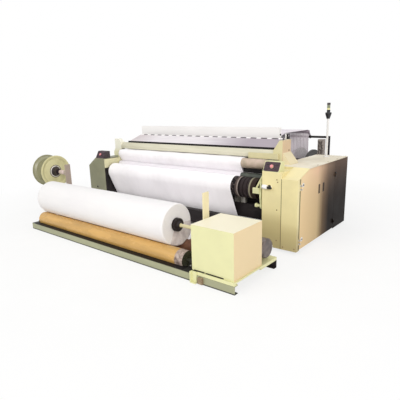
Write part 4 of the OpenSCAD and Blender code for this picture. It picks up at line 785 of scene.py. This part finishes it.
NODE_FINISH = {
    "cream powder coat": "right_control_box press_lever base_angles",
    "bracket enamel with painted top light": "top_bracket_left",
    "drive box powder coat": "drive_box",
    "hinge steel": "hinge_pins",
    "cabinet cream enamel": "column_cover front_cover",
    "faded top enamel": "top_cover",
    "pale beam enamel": "front_top_beam",
    "yarn polished bar": "back_rest_roller",
    "tie bar enamel": "rear_tie_bar",
    "worn tan enamel": "breast_beam",
    "cream post enamel": "guide_posts",
    "reel tinplate enamel": "reel",
    "grey green enamel": "left_cabinet right_base",
    "rail enamel": "front_rail end_members",
    "tan door enamel": "front_door rear_door rear_side_panel",
    "dark satin enamel": "front_lower_beam rear_cross_beam drip_tray rear_rail",
    "painted iron casting": "side_frame_right rear_stand_left pillow_blocks",
    "two-tone casting enamel": "side_frame_left",
    "bracket enamel": "top_bracket_right",
    "let-off gear enamel": "rear_stand_right",
    "grey motor enamel": "main_motor gear_motor",
    "ground steel": "levelling_feet main_shaft floor_guide_roller sley warp_guide_roller "
                    "motor_sprocket drive_chain",
    "beam steel": "warp_beam",
    "blackened steel": "press_roller",
    "brushed stainless sheet": "splash_plate",
    "roughened rubber": "take_up_roller",
    "ochre rubber covering": "front_roller",
    "aged rubber covering": "rear_roller",
    "white anodised extrusion": "heald_frame_front heald_frame_rear",
    "dark moulded plastic": "left_control_box",
    "red moulded plastic": "left_stop_button right_stop_button",
    "white moulded plastic": "release_lever",
    "white enamelled tube": "tower_pole",
    "moulded lamp lenses": "signal_lamp",
    "plain woven cloth": "cloth_web",
    "batched woven cloth": "cloth_roll",
    "filament warp yarn": "warp_sheet",
    "wound warp yarn": "yarn_package",
    "black wound tube": "roll_core",
}


def material(name):
    """Finish by its name, made once."""
    return bpy.data.materials.get(name) or finish(name, **FINISHES[name])


# Operators, one for each piece or group

class LoomOperator:
    """Operator that makes its pieces in build, or stops with an error."""
    bl_options = {"REGISTER", "UNDO"}

    def execute(self, context):
        self.build(context.scene)
        return {"FINISHED"}


class LOOM_OT_finish_nodes(LoomOperator, bpy.types.Operator):
    """Give every solid of the machine its finish"""
    bl_idname = "loom.finish_nodes"
    bl_label = "Finish solids"

    def build(self, scene):
        for name, nodes in NODE_FINISH.items():
            for node in nodes.split():
                mesh = bpy.data.objects[node].data
                mesh.materials.clear()
                mesh.materials.append(material(name))


class LOOM_OT_cloth_web(LoomOperator, bpy.types.Operator):
    """Cloth from the fell over the rollers to the winder: p(s, x) = c(s) + d(s, x) n(s)"""
    bl_idname = "loom.cloth_web"
    bl_label = "Cloth web"

    def build(self, scene):
        cloth = scene.loom_cloth
        lo, hi = span("cloth_web")
        rise = axis("cloth_roll") - axis("rear_roller")
        nip = np.arctan2(rise[2], rise[1]) + TAU / 4
        before_nip = np.radians(14)
        path = [(hi[1], hi[2] - HALF_CLOTH, 0.0, 1)]
        path += [roller(node, side, cloth.gap) for node, side in (
            ("breast_beam", 1), ("press_roller", -1), ("take_up_roller", 1),
            ("floor_guide_roller", -1), ("rear_roller", 1))]
        points, normals, run, weight = web_path(path, np.pi, nip - before_nip, cloth.step)
        x = np.linspace(hi[0], lo[0], cloth.columns)
        s = run[:, None]
        slack = 0.6 * np.sin(TAU * x / 0.47 + 1.3 * np.sin(TAU * s / 0.9))
        slack = slack + 0.4 * np.sin(TAU * x / 0.21 + 2.1 * s)
        slack = slack + 0.3 * np.sin(TAU * (x + s) / 0.33)
        part = sheet(x, points, normals, cloth.wrinkle * weight[:, None] * slack)
        obj = piece("woven_cloth_web", part, "plain woven cloth", "machine", smooth=True)
        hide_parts("cloth_web")


class LOOM_OT_cloth_roll(LoomOperator, bpy.types.Operator):
    """Batched cloth: r(t) = R - layer t / turn, soft shoulders, rippled ends, loose right end"""
    bl_idname = "loom.cloth_roll"
    bl_label = "Cloth roll"

    def build(self, scene):
        cloth = scene.loom_cloth
        lo, hi = span("cloth_roll")
        c = axis("cloth_roll")
        core, big = 0.0712, (hi[2] - lo[2]) / 2
        sides, rings, rows = 160, 30, 60
        layer_start, loose_middle, loose_half = np.radians([-132, -62, 60])
        turn = np.arange(sides) / sides
        t = layer_start + TAU * turn
        outer = big - 0.0006 - cloth.roll_layer * turn
        share = np.linspace(0, 1, rings)[:, None] ** 0.8
        ripple = 0.002 * np.sin(9 * TAU * share) * np.sin(2 * t + 5 * share)
        off = t - loose_middle
        loose = np.clip(np.cos(1.5 * off), 0, 1) * (np.abs(off) < loose_half)
        hang = np.clip((share - 0.12) / 0.88, 0, 1)
        fold = 0.5 + 0.5 * np.sin(7 * t + 6 * share)
        left = lo[0] + 0.012 - 0.010 * share ** 2 + ripple
        right = hi[0] - 0.020 + 0.012 * share ** 2 + ripple
        right = right + cloth.roll_flap * loose * hang ** 1.3 * (0.65 + 0.35 * fold)
        shoulder = 1 - np.sqrt(1 - np.clip((share - 0.9) / 0.1, 0, 1) ** 2)
        edge = 0.016 * shoulder * (1 - 0.8 * loose)
        radius = core + (outer - core) * share
        mid = np.linspace(0, 1, rows + 2)[1:-1, None]
        wave = 0.0012 * np.sin(TAU * 3 * mid) * np.sin(3 * t) - 0.0012
        first, last = left[-1] + edge[-1], right[-1] - edge[-1]
        xs = np.concatenate([left + edge, first * (1 - mid) + last * mid, (right - edge)[::-1]])
        rs = np.concatenate([radius, outer + wave, radius[::-1]])
        points = np.stack([xs, c[1] + rs * np.cos(t), c[2] + rs * np.sin(t)], -1)
        part = points.reshape(-1, 3), grid(len(xs), sides, wrap=True, close=True)
        obj = piece("wound_cloth_roll", part, "batched woven cloth", "cloth_roll",
                    smooth=True)
        obj.data.materials.append(material("slack selvedge cloth in painted shade"))
        # the loose outer layers take the cloth greyed by painted shade
        slack = np.zeros((len(xs), sides), int)
        slack[rings + rows:-1] = loose > 0.02
        obj.data.polygons.foreach_set("material_index", slack.ravel())
        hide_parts("cloth_roll")


def strip_places(scene):
    """Middles and width of the warp's strips: each of 24 bands is cut into equal strips."""
    warp = scene.loom_warp
    lo, hi = span("warp_sheet")
    bands, gap = 24, 0.007
    step = (hi[0] - lo[0] + gap) / bands
    pitch = step / warp.strips
    x = lo[0] - gap / 2 + pitch * (np.arange(bands * warp.strips) + 0.5)
    return x, pitch - warp.slit


def slits(scene):
    """Middles of the slits between the strips, without those that hold a stay."""
    bands_per_stay = 6
    x, _ = strip_places(scene)
    middle = (x[1:] + x[:-1]) / 2
    return middle[np.arange(1, len(x)) % (bands_per_stay * scene.loom_warp.strips) != 0]


class LOOM_OT_warp(LoomOperator, bpy.types.Operator):
    """Warp in narrow strips along the web path, ridged by h(x) = ridge cos(2 pi x / pitch)"""
    bl_idname = "loom.warp"
    bl_label = "Warp"

    def build(self, scene):
        gap = scene.loom_cloth.gap
        fell = span("cloth_web")[1]
        path = [roller(node, 1, gap)
                for node in ("yarn_package", "back_rest_roller", "warp_guide_roller")]
        path.append((fell[1] + HALF_CLOTH, fell[2] - HALF_CLOTH, 0.0, 1))
        points, normals, run, _ = web_path(path, np.radians(84), np.pi, 0.06)
        x, width = strip_places(scene)
        ridges = 4
        u = np.linspace(0.5, -0.5, 2 * ridges + 1)
        strip = sheet(u * width, points, normals, scene.loom_warp.ridge * np.cos(TAU * ridges * u))
        obj = piece("warp_strips", in_row(strip, x), "filament warp yarn", "machine",
                    smooth=True)
        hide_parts("warp_sheet")


class LOOM_OT_heald_wires(LoomOperator, bpy.types.Operator):
    """Flat heald wires between the rails of both frames, each widened to an eye at the warp"""
    bl_idname = "loom.heald_wires"
    bl_label = "Heald wires"

    def build(self, scene):
        t = scene.loom_warp.wire
        x = slits(scene)
        below_top = np.array([0.391, 0.272, 0.26, 0.248, 0.128])
        half = np.array([0.0009, 0.0009, 0.0028, 0.0009, 0.0009])
        corner = np.array([[-1, -1], [1, -1], [1, 1], [-1, 1]])
        for k, node in enumerate(("heald_frame_front", "heald_frame_rear")):
            top, y = span(node)[1][2], axis(node)[1]
            rings = np.broadcast_arrays(corner[:, 0] * t / 2, y + half[:, None] * corner[:, 1],
                                        (top - below_top)[:, None])
            wires = in_row(loft(np.stack(rings, -1)), x[k::2])
            piece(node.replace("frame", "wires"), wires, "ground steel",
                  node.replace("_frame", ""))


class LOOM_OT_reed(LoomOperator, bpy.types.Operator):
    """Reed dents: thin upright blades in the slits of the warp, held by the reed's two rails"""
    bl_idname = "loom.reed"
    bl_label = "Reed dents"

    def build(self, scene):
        t = scene.loom_warp.wire
        y, top = loom(0, 0.64, 0)[1], span("sley")[1][2]
        half, foot, head = 0.005, top - 0.132, top - 0.012
        blade = along_x([[y - half, foot], [y + half, foot], [y + half, head], [y - half, head]],
                        -t / 2, t / 2)
        piece("reed_dents", in_row(blade, slits(scene)), "ground steel", "sley")


class LOOM_OT_plate_trim(LoomOperator, bpy.types.Operator):
    """Rubber lip along the foot of the splash plate, and clips along its top with dark strips of
    painted shadow between them
    """
    bl_idname = "loom.plate_trim"
    bl_label = "Splash plate trim"

    def build(self, scene):
        trim = scene.loom_trim
        lo, hi = span("splash_plate")
        lip = np.array([[0, 0], [0, 0.014], [-0.002, 0.022], [-0.007, 0.026], [-0.0105, 0.022],
                        [-0.0115, 0.006], [-0.0115, 0]]) + (lo[1] - 0.0005, lo[2] + 0.0004)
        piece("splash_plate_lip", along_x(lip, lo[0], hi[0] + 0.01), "black rubber extrusion",
              "machine")
        slope = np.array([0.270, 0.094]) / np.hypot(0.270, 0.094)
        on_plate = np.array([slope, (-slope[1], slope[0])])
        clip = np.array([[-0.026, 0.0004], [0, 0.0004], [0.002, 0.001], [-0.001, 0.006],
                         [-0.012, 0.009], [-0.026, 0.005]]) @ on_plate + hi[1:]
        x = np.linspace(lo[0] + 0.05, hi[0] - 0.05, trim.clips)
        piece("splash_plate_clips", in_row(along_x(clip, -0.03, 0.03), x),
              "white anodised extrusion", "machine")
        # Dark strips between the clips: painted shadows of the clips
        strip = np.array([[-0.016, 0.0004], [-0.002, 0.0004], [-0.003, 0.004],
                          [-0.015, 0.004]]) @ on_plate + hi[1:]
        piece("splash_plate_clip_shadows", in_row(along_x(strip, -0.042, 0.042), (x[1:] + x[:-1]) / 2),
              "dark satin enamel", "machine")


def panel_plate(node, width, tall, hole, rise):
    """Plate on a control box's sloping face, from a round hole to a rounded border.

    p(a, b) = (1 - b) hole (cos a, sin a) + b q(a), with q a superellipse of order 14.
    """
    lo, hi = span(node)
    lean, order, sides, middle, gap = np.radians(30), 14, 72, 0.06, 0.0004
    u = np.array([1.0, 0.0, 0.0])
    v = np.array([0.0, np.sin(lean), np.cos(lean)])
    n = np.array([0.0, -np.cos(lean), np.sin(lean)])
    foot = np.array([(lo[0] + hi[0]) / 2, lo[1], lo[2]])
    unit = rim(sides, *np.eye(2))
    power = (np.abs(unit) ** order).sum(axis=1, keepdims=True)
    border = unit * (width / 2, tall / 2) / power ** (1 / order)
    circle = hole * unit
    flat = [(border, gap), (border, rise - 0.001), (border * 0.985, rise),
            (0.5 * border + 0.5 * circle, rise), (circle, rise), (circle, gap)]
    rings = np.array([foot + xy[:, :1] * u + (middle + xy[:, 1:]) * v + h * n for xy, h in flat])
    return (rings.reshape(-1, 3), grid(len(flat), sides, wrap=True, close=True)), foot, u, v, n


class LOOM_OT_panels(LoomOperator, bpy.types.Operator):
    """Panel plates and their small round caps on both control boxes"""
    bl_idname = "loom.panels"
    bl_label = "Control panels"

    def build(self, scene):
        cap = [(0, 0.0075), (0.004, 0.0075), (0.0055, 0.006), (0.006, 0.003)]
        for side in ("right", "left"):
            part, foot, u, v, n = panel_plate(side + "_control_box", 0.186, 0.112, 0.0205, 0.002)
            piece(side + "_panel_plate", part, "plum moulded plastic", "machine")
            caps = [turned(foot + x * u + y * v + 0.0022 * n, n, cap, 20)
                    for x in (-0.066, -0.045, 0.045, 0.066) for y in (0.032, 0.084)]
            piece(side + "_panel_caps", join(caps), "dark moulded plastic", "machine",
                  smooth=True)


class LOOM_OT_fasteners(LoomOperator, bpy.types.Operator):
    """Domed screws on the covers and six-sided bolts on the frames"""
    bl_idname = "loom.fasteners"
    bl_label = "Fasteners"

    def build(self, scene):
        r = scene.loom_trim.screw_r
        b = scene.loom_trim.bolt_r
        dome = [(0.0003, r), (0.001, r), (0.003, r * 0.75), (0.004, r * 0.3)]
        hexagon = [(0.0003, b), (0.007, b), (0.008, b * 0.85)]
        front = [loom(x, 0, z) for x, z in (
            (1.556, 0.800), (1.565, 0.775), (1.560, 0.468), (1.560, 0.12), (1.400, 0.12),
            (1.640, 0.06), (1.775, 0.06))]
        low, high = span("top_cover")
        tops = [np.array([x, y, high[2]]) for x in (low[0] + 0.02, high[0] - 0.02)
                for y in np.linspace(low[1] + 0.26, high[1] - 0.03, 4)]
        screws = [turned(p, (0, -1, 0), dome, 14) for p in front]
        screws += [turned(p, Z, dome, 14) for p in tops]
        piece("cover_screws", join(screws), "rusted screw heads", "machine", smooth=True)
        low, high = span("pillow_blocks")
        feet = [(x, axis(node)[1] + d, 0.096) for node in ("front_roller", "rear_roller")
                for d in (-0.053, 0.053) for x in (low[0] + 0.018, high[0] - 0.018)]
        bolts = [turned(p, Z, hexagon, 6) for p in feet]
        post = span("guide_posts")[1][0]
        bolts += [turned((post, axis("cloth_roll")[1] + d, z), X, hexagon, 6)
                  for d in (-0.025, 0.025) for z in (0.105, 0.15)]
        piece("frame_bolts", join(bolts), "zinc plated steel", "machine")


class LOOM_OT_chain(LoomOperator, bpy.types.Operator):
    """Roller chain: links at equal steps round the three sprockets, plates of two rounded ends"""
    bl_idname = "loom.chain"
    bl_label = "Drive chain"

    def build(self, scene):
        pitch = scene.loom_trim.chain_pitch
        sprocket_r, plate_r, roller_r = 0.0515, 0.0045, 0.004
        plate, step_in, roller_in = 0.0014, 0.0016, 0.0031
        lo, hi = span("drive_chain")
        wheels = [axis(node)[1:] for node in ("front_roller", "motor_sprocket", "rear_roller")]
        delta = np.roll(wheels, -1, axis=0) - wheels
        angle = np.arctan2(delta[:, 1], delta[:, 0]) + TAU / 4
        path = []
        for k, wheel in enumerate(wheels):
            t = angle[k - 1] - np.linspace(0, 1, 40) * ((angle[k - 1] - angle[k]) % TAU)
            path.append(wheel + sprocket_r * np.column_stack([np.cos(t), np.sin(t)]))
        path = np.concatenate(path + [path[0][:1]])
        run = run_length(path)
        links = int(run[-1] / pitch)
        at = np.linspace(0, run[-1], links, endpoint=False)
        y, z = np.interp(at, run, path[:, 0]), np.interp(at, run, path[:, 1])
        heading = np.arctan2(np.roll(z, -1) - z, np.roll(y, -1) - y)
        unit = rim(16, *np.eye(2))
        outline = plate_r * unit + np.where(unit[:, :1] > 0, (pitch, 0.0), 0.0)
        parts = []
        for k in range(links):
            cos, sin = np.cos(heading[k]), np.sin(heading[k])
            side = outline @ np.array([[cos, sin], [-sin, cos]]) + (y[k], z[k])
            inset = 0.0 if k % 2 else step_in
            parts.append(along_x(side, lo[0] + inset, lo[0] + inset + plate))
            parts.append(along_x(side, hi[0] - inset - plate, hi[0] - inset))
            parts.append(along_x(roller_r * unit + (y[k], z[k]), lo[0] + roller_in,
                                 hi[0] - roller_in))
        obj = piece("drive_chain_links", join(parts), "oiled chain steel", "machine")
        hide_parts("drive_chain")


class LOOM_OT_motor_fins(LoomOperator, bpy.types.Operator):
    """Cooling fins of the gear motor: r(t) = r0 + h max(0, cos(n t))^4"""
    bl_idname = "loom.motor_fins"
    bl_label = "Motor fins"

    def build(self, scene):
        fins, sides, shell, fin_h = 28, 336, 0.0836, 0.0125
        back = span("gear_motor")[1][0]
        c = axis("motor_sprocket")
        t = np.arange(sides) * TAU / sides
        x = back - np.array([0.235, 0.230, 0.078, 0.072])[:, None]
        swell = np.array([0.0, 1.0, 1.0, 0.0])[:, None]
        r = shell + swell * fin_h * np.clip(np.cos(fins * t), 0, 1) ** 4
        rings = np.broadcast_arrays(x, c[1] + r * np.cos(t), c[2] + r * np.sin(t))
        part = np.stack(rings, -1).reshape(-1, 3), grid(len(x), sides, wrap=True, close=True)
        piece("gear_motor_fins", part, "grey motor enamel", "machine")


class LOOM_OT_fittings(LoomOperator, bpy.types.Operator):
    """Valve and rods on the right bracket, plugs, door locks and pulls, vents of the let-off box"""
    bl_idname = "loom.fittings"
    bl_label = "Fittings"

    def build(self, scene):
        top = span("top_bracket_right")[1][2] + 0.0004
        rod = tube([loom(1.372, 0.43, top), loom(1.366, 0.43, top + 0.05),
                    loom(1.338, 0.43, top + 0.15)], 0.004)
        riser = turned(loom(1.399, 0.49, top), Z, [(0, 0.008), (0.06, 0.008), (0.066, 0.006)], 16)
        piece("bracket_rods", join([rod, riser]), "white enamelled tube", "machine",
              smooth=True)
        knob = [(-0.011, 0.004), (-0.007, 0.008), (0.007, 0.008), (0.011, 0.004)]
        stem = [(0, 0.007), (0.012, 0.007), (0.016, 0.005), (0.024, 0.004)]
        valve = [turned(loom(1.362, 0.43, top + 0.065), (-0.25, 0, 1), knob, 16),
                 turned(loom(1.384, 0.455, top), Z, stem, 6)]
        piece("bracket_valve", join(valve), "dark satin enamel", "machine",
              smooth=True)
        stud = [(0, 0.003), (0.085, 0.003), (0.088, 0.002)]
        nut = [(0, 0.009), (0.008, 0.009), (0.012, 0.006)]
        nuts = [turned(loom(1.388, 0.52, top), Z, stud, 12),
                turned(loom(1.372, 0.43, top), Z, nut, 6)]
        piece("bracket_nuts", join(nuts), "zinc plated steel", "machine")
        cup = [(0.0003, 0.015), (0.003, 0.015), (0.004, 0.011), (0.002, 0.009)]
        plug = [(0.0003, 0.009), (0.002, 0.009), (0.0025, 0.006)]
        plugs = [turned(loom(-1.62, 0, 0.392), (0, -1, 0), cup, 20),
                 turned(loom(1.41, 0.555, 1.055), X, plug, 16)]
        piece("cabinet_plugs", join(plugs), "dark satin enamel", "machine",
              smooth=True)
        locks = [loom(RIGHT_FACE, 0.122, z) for z in (0.748, 0.148)]
        collar = [(0.0003, 0.024), (0.003, 0.024), (0.005, 0.020), (0.005, 0.011)]
        piece("door_lock_collars", join([turned(p, X, collar, 24) for p in locks]),
              "white enamelled tube", "front_door")
        barrel = [(0.0053, 0.010), (0.007, 0.010), (0.008, 0.008)]
        piece("door_lock_barrels", join([turned(p, X, barrel, 20) for p in locks]),
              "dark satin enamel", "front_door")
        gap = (span("front_door")[1][1] + span("rear_door")[0][1]) / 2
        back, face = loom(RIGHT_FACE - 0.003, 0, 0)[0], loom(RIGHT_FACE, 0, 0)[0]
        rim_bars = [(-0.021, -0.052, -0.0078, 0.052), (0.0078, -0.052, 0.021, 0.052),
                    (-0.0078, -0.052, 0.0078, -0.0428), (-0.0078, 0.0428, 0.0078, 0.052)]
        for door, off in (("front_door", -0.061), ("rear_door", 0.061)):
            y, z = gap + off, 0.632
            pull = [chamfered((back - 0.0014, y - 0.014, z - 0.05),
                              (back - 0.0003, y + 0.014, z + 0.05), 0.0004)]
            pull += [chamfered((face + 0.0003, y + a, z + b), (face + 0.0015, y + c, z + d), 0.0003)
                     for a, b, c, d in rim_bars]
            piece(door + "_pull", join(pull), "black rubber extrusion", door)
        lo, hi = loom(1.3, 1.66, 0.86), loom(1.376, 1.75, 1.09)
        slot = along_x([[0, 0], [0, 0.006], [-0.0015, 0.006], [-0.0015, 0]], 0, 0.018)
        places = [(x, lo[1] - 0.0003, z) for x in (lo[0] + 0.012, lo[0] + 0.046)
                  for z in np.linspace(lo[2] + 0.03, hi[2] - 0.03, 14)]
        piece("let_off_vents", repeat(slot, places), "dark satin enamel", "machine")


class LOOM_OT_front_gear(LoomOperator, bpy.types.Operator):
    """Apron beam under the take-up roller, its brackets, link, sleeves, gaskets, buffer, and black
    strips of painted shadow
    """
    bl_idname = "loom.front_gear"
    bl_label = "Front gear"

    def build(self, scene):
        front = ORIGIN[1]
        beam = np.array([[0.225, 0.25], [0.3, 0.25], [0.3, 0.258], [0.233, 0.258], [0.233, 0.417],
                         [0.3, 0.417], [0.3, 0.425], [0.225, 0.425]]) + (front, 0)
        low, high = span("front_lower_beam")
        piece("apron_beam", along_x(beam, low[0] + 0.0003, high[0] - 0.0003), "dark satin enamel",
              "machine")
        boxes = [chamfered(loom(x, 0.229, 0.4253), loom(x + 0.066, 0.272, 0.503))
                 for x in (0.856, 0.944, -1.3)]
        piece("apron_brackets", join(boxes), "zinc plated steel", "machine")
        link = tube([loom(1.3755, 0.045, 0.85), loom(1.33, 0.037, 0.765),
                     loom(1.285, 0.03, 0.676)], 0.011, 8)
        block = chamfered(loom(1.246, 0.012, 0.615), loom(1.3297, 0.043, 0.68))
        piece("lifting_link", join([link, block]), "cream powder coat", "machine")
        # Black strip right of the cloth below the breast beam: a painted shadow
        breast_shadow_part = chamfered(loom(0.925, 0.322, 0.792), loom(1.3755, 0.33, 0.8397), 0.001)
        piece("breast_shadow_strip", breast_shadow_part, "black rubber extrusion", "machine")
        hub = axis("reel") * (0, 1, 1) + (ORIGIN[0] - 1.79, 0, 0)
        sleeve = turned(hub, X, [(0, 0.026), (0.006, 0.032), (0.115, 0.032), (0.125, 0.026)], 28)
        piece("reel_sleeve", sleeve, "turned nylon sleeve", "reel", smooth=True)
        sleeve = turned(loom(1.394, -0.0255, 0.716), X,
                        [(0, 0.02), (0.004, 0.024), (0.054, 0.024), (0.058, 0.02)], 28)
        piece("lever_sleeve", sleeve, "white anodised extrusion", "release_lever",
              smooth=True)
        seam = [[front - 0.0009, 0.03], [front - 0.0003, 0.03], [front - 0.0003, 0.812],
                [front - 0.0009, 0.812]]
        joints = [along_x(seam, ORIGIN[0] + 1.608, ORIGIN[0] + 1.614)]
        joints += [chamfered(loom(1.8003, 0.044, a), loom(1.8012, 0.0625, b), 0.001)
                   for a, b in ((0.045, 0.095), (0.165, 0.695), (0.765, 0.82))]
        piece("cover_gaskets", join(joints), "olive gasket", "machine")
        # Black strips along the foot of the drive box's front: painted shadow in the gap under it
        x, y, z = span("drive_box")[0]
        strips = [chamfered((x + a, y - 0.0095, z + 0.0003), (x + b, y - 0.0003, z + 0.0075), 0.001)
                  for a, b in ((0.03, 0.15), (0.165, 0.36))]
        piece("box_foot_shadow_strips", join(strips), "black rubber extrusion", "machine")
        # Black sheet on the front rail's top: a painted shadow under the front roller
        blocks = span("pillow_blocks")
        low, high = span("front_rail")
        rail_shadow_part = chamfered((blocks[0][0] + 0.05, low[1] + 0.012, high[2] + 0.0003),
                          (blocks[1][0] - 0.05, high[1] + 0.045, high[2] + 0.0023), 0.0005)
        piece("roller_shadow_sheet", rail_shadow_part, "black rubber extrusion", "machine")
        pad = chamfered((ORIGIN[0] + 1.394, low[1] - 0.026, 0.008),
                        (ORIGIN[0] + 1.446, low[1] - 0.0003, 0.072))
        piece("rail_buffer", pad, "brown rubber buffer", "machine")


def background_rays(tree):
    """1 for the rays that show the background: camera, glossy and transmission rays."""
    seen = add(tree, "LightPath").outputs
    first = add(tree, "Math", {0: seen["Is Camera Ray"], 1: seen["Is Glossy Ray"]},
                operation="MAXIMUM")
    both = add(tree, "Math", {0: first.outputs[0], 1: seen["Is Transmission Ray"]},
               operation="MAXIMUM")
    return both.outputs[0]


def stand(scene, name, data, place, directions):
    """Put a lamp or the camera at a place, turned to its right, up and back directions."""
    obj = bpy.data.objects.new(name, data)
    scene.collection.objects.link(obj)
    turn = Matrix(np.column_stack(directions).tolist()).to_4x4()
    obj.matrix_world = Matrix.Translation(place) @ turn
    return obj


class LOOM_OT_stage(LoomOperator, bpy.types.Operator):
    """Floor, lamps, surroundings and the camera of the photograph"""
    bl_idname = "loom.stage"
    bl_label = "Stage"

    def build(self, scene):
        scene.view_settings.view_transform = "Standard"
        self.floor(scene)
        self.surroundings(scene)
        self.lamps(scene)
        self.camera(scene)

    def floor(self, scene):
        """Pale floor that fades to plain white away from the object's shadow."""
        far = 40.0
        mesh = bpy.data.meshes.new("pale_floor")
        mesh.from_pydata([(-far, -far, 0), (far, -far, 0), (far, far, 0), (-far, far, 0)], [],
                         [(0, 1, 2, 3)])
        floor = bpy.data.objects.new("pale_floor", mesh)
        scene.collection.objects.link(floor)
        screed = finish("pale screed floor", ["#ECEBE9", "#F2F1EF"], 2.0, (0.8, 0.9),
                        (60.0, 0.0002))
        mesh.materials.append(screed)
        tree = screed.node_tree
        place = add(tree, "TexCoord").outputs["Object"]
        reach = add(tree, "VectorMath", {0: place}, operation="LENGTH").outputs["Value"]
        level = add(tree, "MapRange", {"Value": reach, "From Min": 2.2, "From Max": 4.5,
                                       "To Min": scene.loom_stage.glow})
        share = add(tree, "Math", {0: background_rays(tree), 1: level.outputs["Result"]},
                    operation="MULTIPLY")
        white = add(tree, "Emission", {"Strength": 1.0})
        both = add(tree, "MixShader", {"Fac": share.outputs[0], 2: white.outputs[0],
                                       1: tree.nodes["Principled BSDF"].outputs[0]})
        tree.links.new(both.outputs[0], tree.nodes["Material Output"].inputs["Surface"])

    def surroundings(self, scene):
        """White surroundings that light the object at the sky level."""
        world = bpy.data.worlds.new("studio")
        world.use_nodes = True
        tree = world.node_tree
        level = add(tree, "MapRange", {"Value": background_rays(tree), "To Max": 1.0,
                                       "To Min": scene.loom_stage.ambient})
        tree.links.new(level.outputs["Result"], tree.nodes["Background"].inputs["Strength"])
        tree.nodes["Background"].inputs["Color"].default_value = (1.0, 1.0, 1.0, 1.0)
        scene.world = world

    def lamps(self, scene):
        """Soft square lamps that look at a point above the middle of the floor."""
        stage = scene.loom_stage
        aim = (0.0, 0.0, 0.6)
        for name, power, size, place, tint in (
                ("key", stage.key, 6.0, (-4.0, -10.0, 7.2), "#FBFFF8"),
                ("side", stage.side, 5.0, (9.0, -7.5, 5.0), "#FFF9F7"),
                ("top", stage.top, 8.0, (0.5, 0.8, 9.0), "#FFFFFF")):
            lamp = bpy.data.lights.new(name, "AREA")
            lamp.energy = power
            lamp.size = size
            lamp.color = linear(tint)[:3]
            n, u, v = across(np.array(place) - aim)
            stand(scene, name, lamp, place, (u, v, n))

    def camera(self, scene):
        """Camera at the photograph's place, with its pitch, azimuth and roll."""
        pitch, azimuth, roll = np.radians([13.404, 39.532, -1.623])
        back = np.array([np.sin(azimuth) * np.cos(pitch), -np.cos(azimuth) * np.cos(pitch),
                         np.sin(pitch)])
        right = np.array([np.cos(azimuth), np.sin(azimuth), 0.0])
        up = np.cross(back, right)
        data = bpy.data.cameras.new("photo_camera")
        data.lens = scene.loom_stage.lens
        data.sensor_width = 36.0
        directions = (right * np.cos(roll) + up * np.sin(roll),
                      up * np.cos(roll) - right * np.sin(roll), back)
        scene.camera = stand(scene, "photo_camera", data, loom(3.512, -3.668, 1.575), directions)


class LOOM_PT_panel(bpy.types.Panel):
    """Settings and steps of the loom's dressing"""
    bl_label = "Weaving loom"
    bl_idname = "LOOM_PT_panel"
    bl_space_type = "VIEW_3D"
    bl_region_type = "UI"
    bl_category = "Loom"

    def draw(self, context):
        for group in SETTINGS:
            box = self.layout.box()
            for key in SETTINGS[group].__annotations__:
                box.prop(getattr(context.scene, group), key)
        for step in STEPS:
            self.layout.operator(step.bl_idname)


SETTINGS = {"loom_colours": ColourSettings, "loom_cloth": ClothSettings, "loom_warp": WarpSettings,
            "loom_trim": TrimSettings, "loom_stage": StageSettings}
STEPS = (LOOM_OT_finish_nodes, LOOM_OT_cloth_web, LOOM_OT_cloth_roll, LOOM_OT_warp,
         LOOM_OT_heald_wires, LOOM_OT_reed, LOOM_OT_plate_trim, LOOM_OT_panels,
         LOOM_OT_fasteners, LOOM_OT_chain, LOOM_OT_motor_fins, LOOM_OT_fittings,
         LOOM_OT_front_gear, LOOM_OT_stage)


def register():
    """Add the settings, operators and panel to Blender."""
    for cls in (*SETTINGS.values(), *STEPS, LOOM_PT_panel):
        bpy.utils.register_class(cls)
    for group, cls in SETTINGS.items():
        setattr(bpy.types.Scene, group, bpy.props.PointerProperty(type=cls))


def unregister():
    """Take them out again."""
    for group in SETTINGS:
        delattr(bpy.types.Scene, group)
    for cls in (LOOM_PT_panel, *STEPS[::-1], *SETTINGS.values()):
        bpy.utils.unregister_class(cls)


def main():
    """Run every step in order."""
    register()
    for step in STEPS:
        group, name = step.bl_idname.split(".")
        if getattr(getattr(bpy.ops, group), name)() != {"FINISHED"}:
            raise RuntimeError(step.bl_label + " did not finish")


if __name__ == "__main__":
    main()
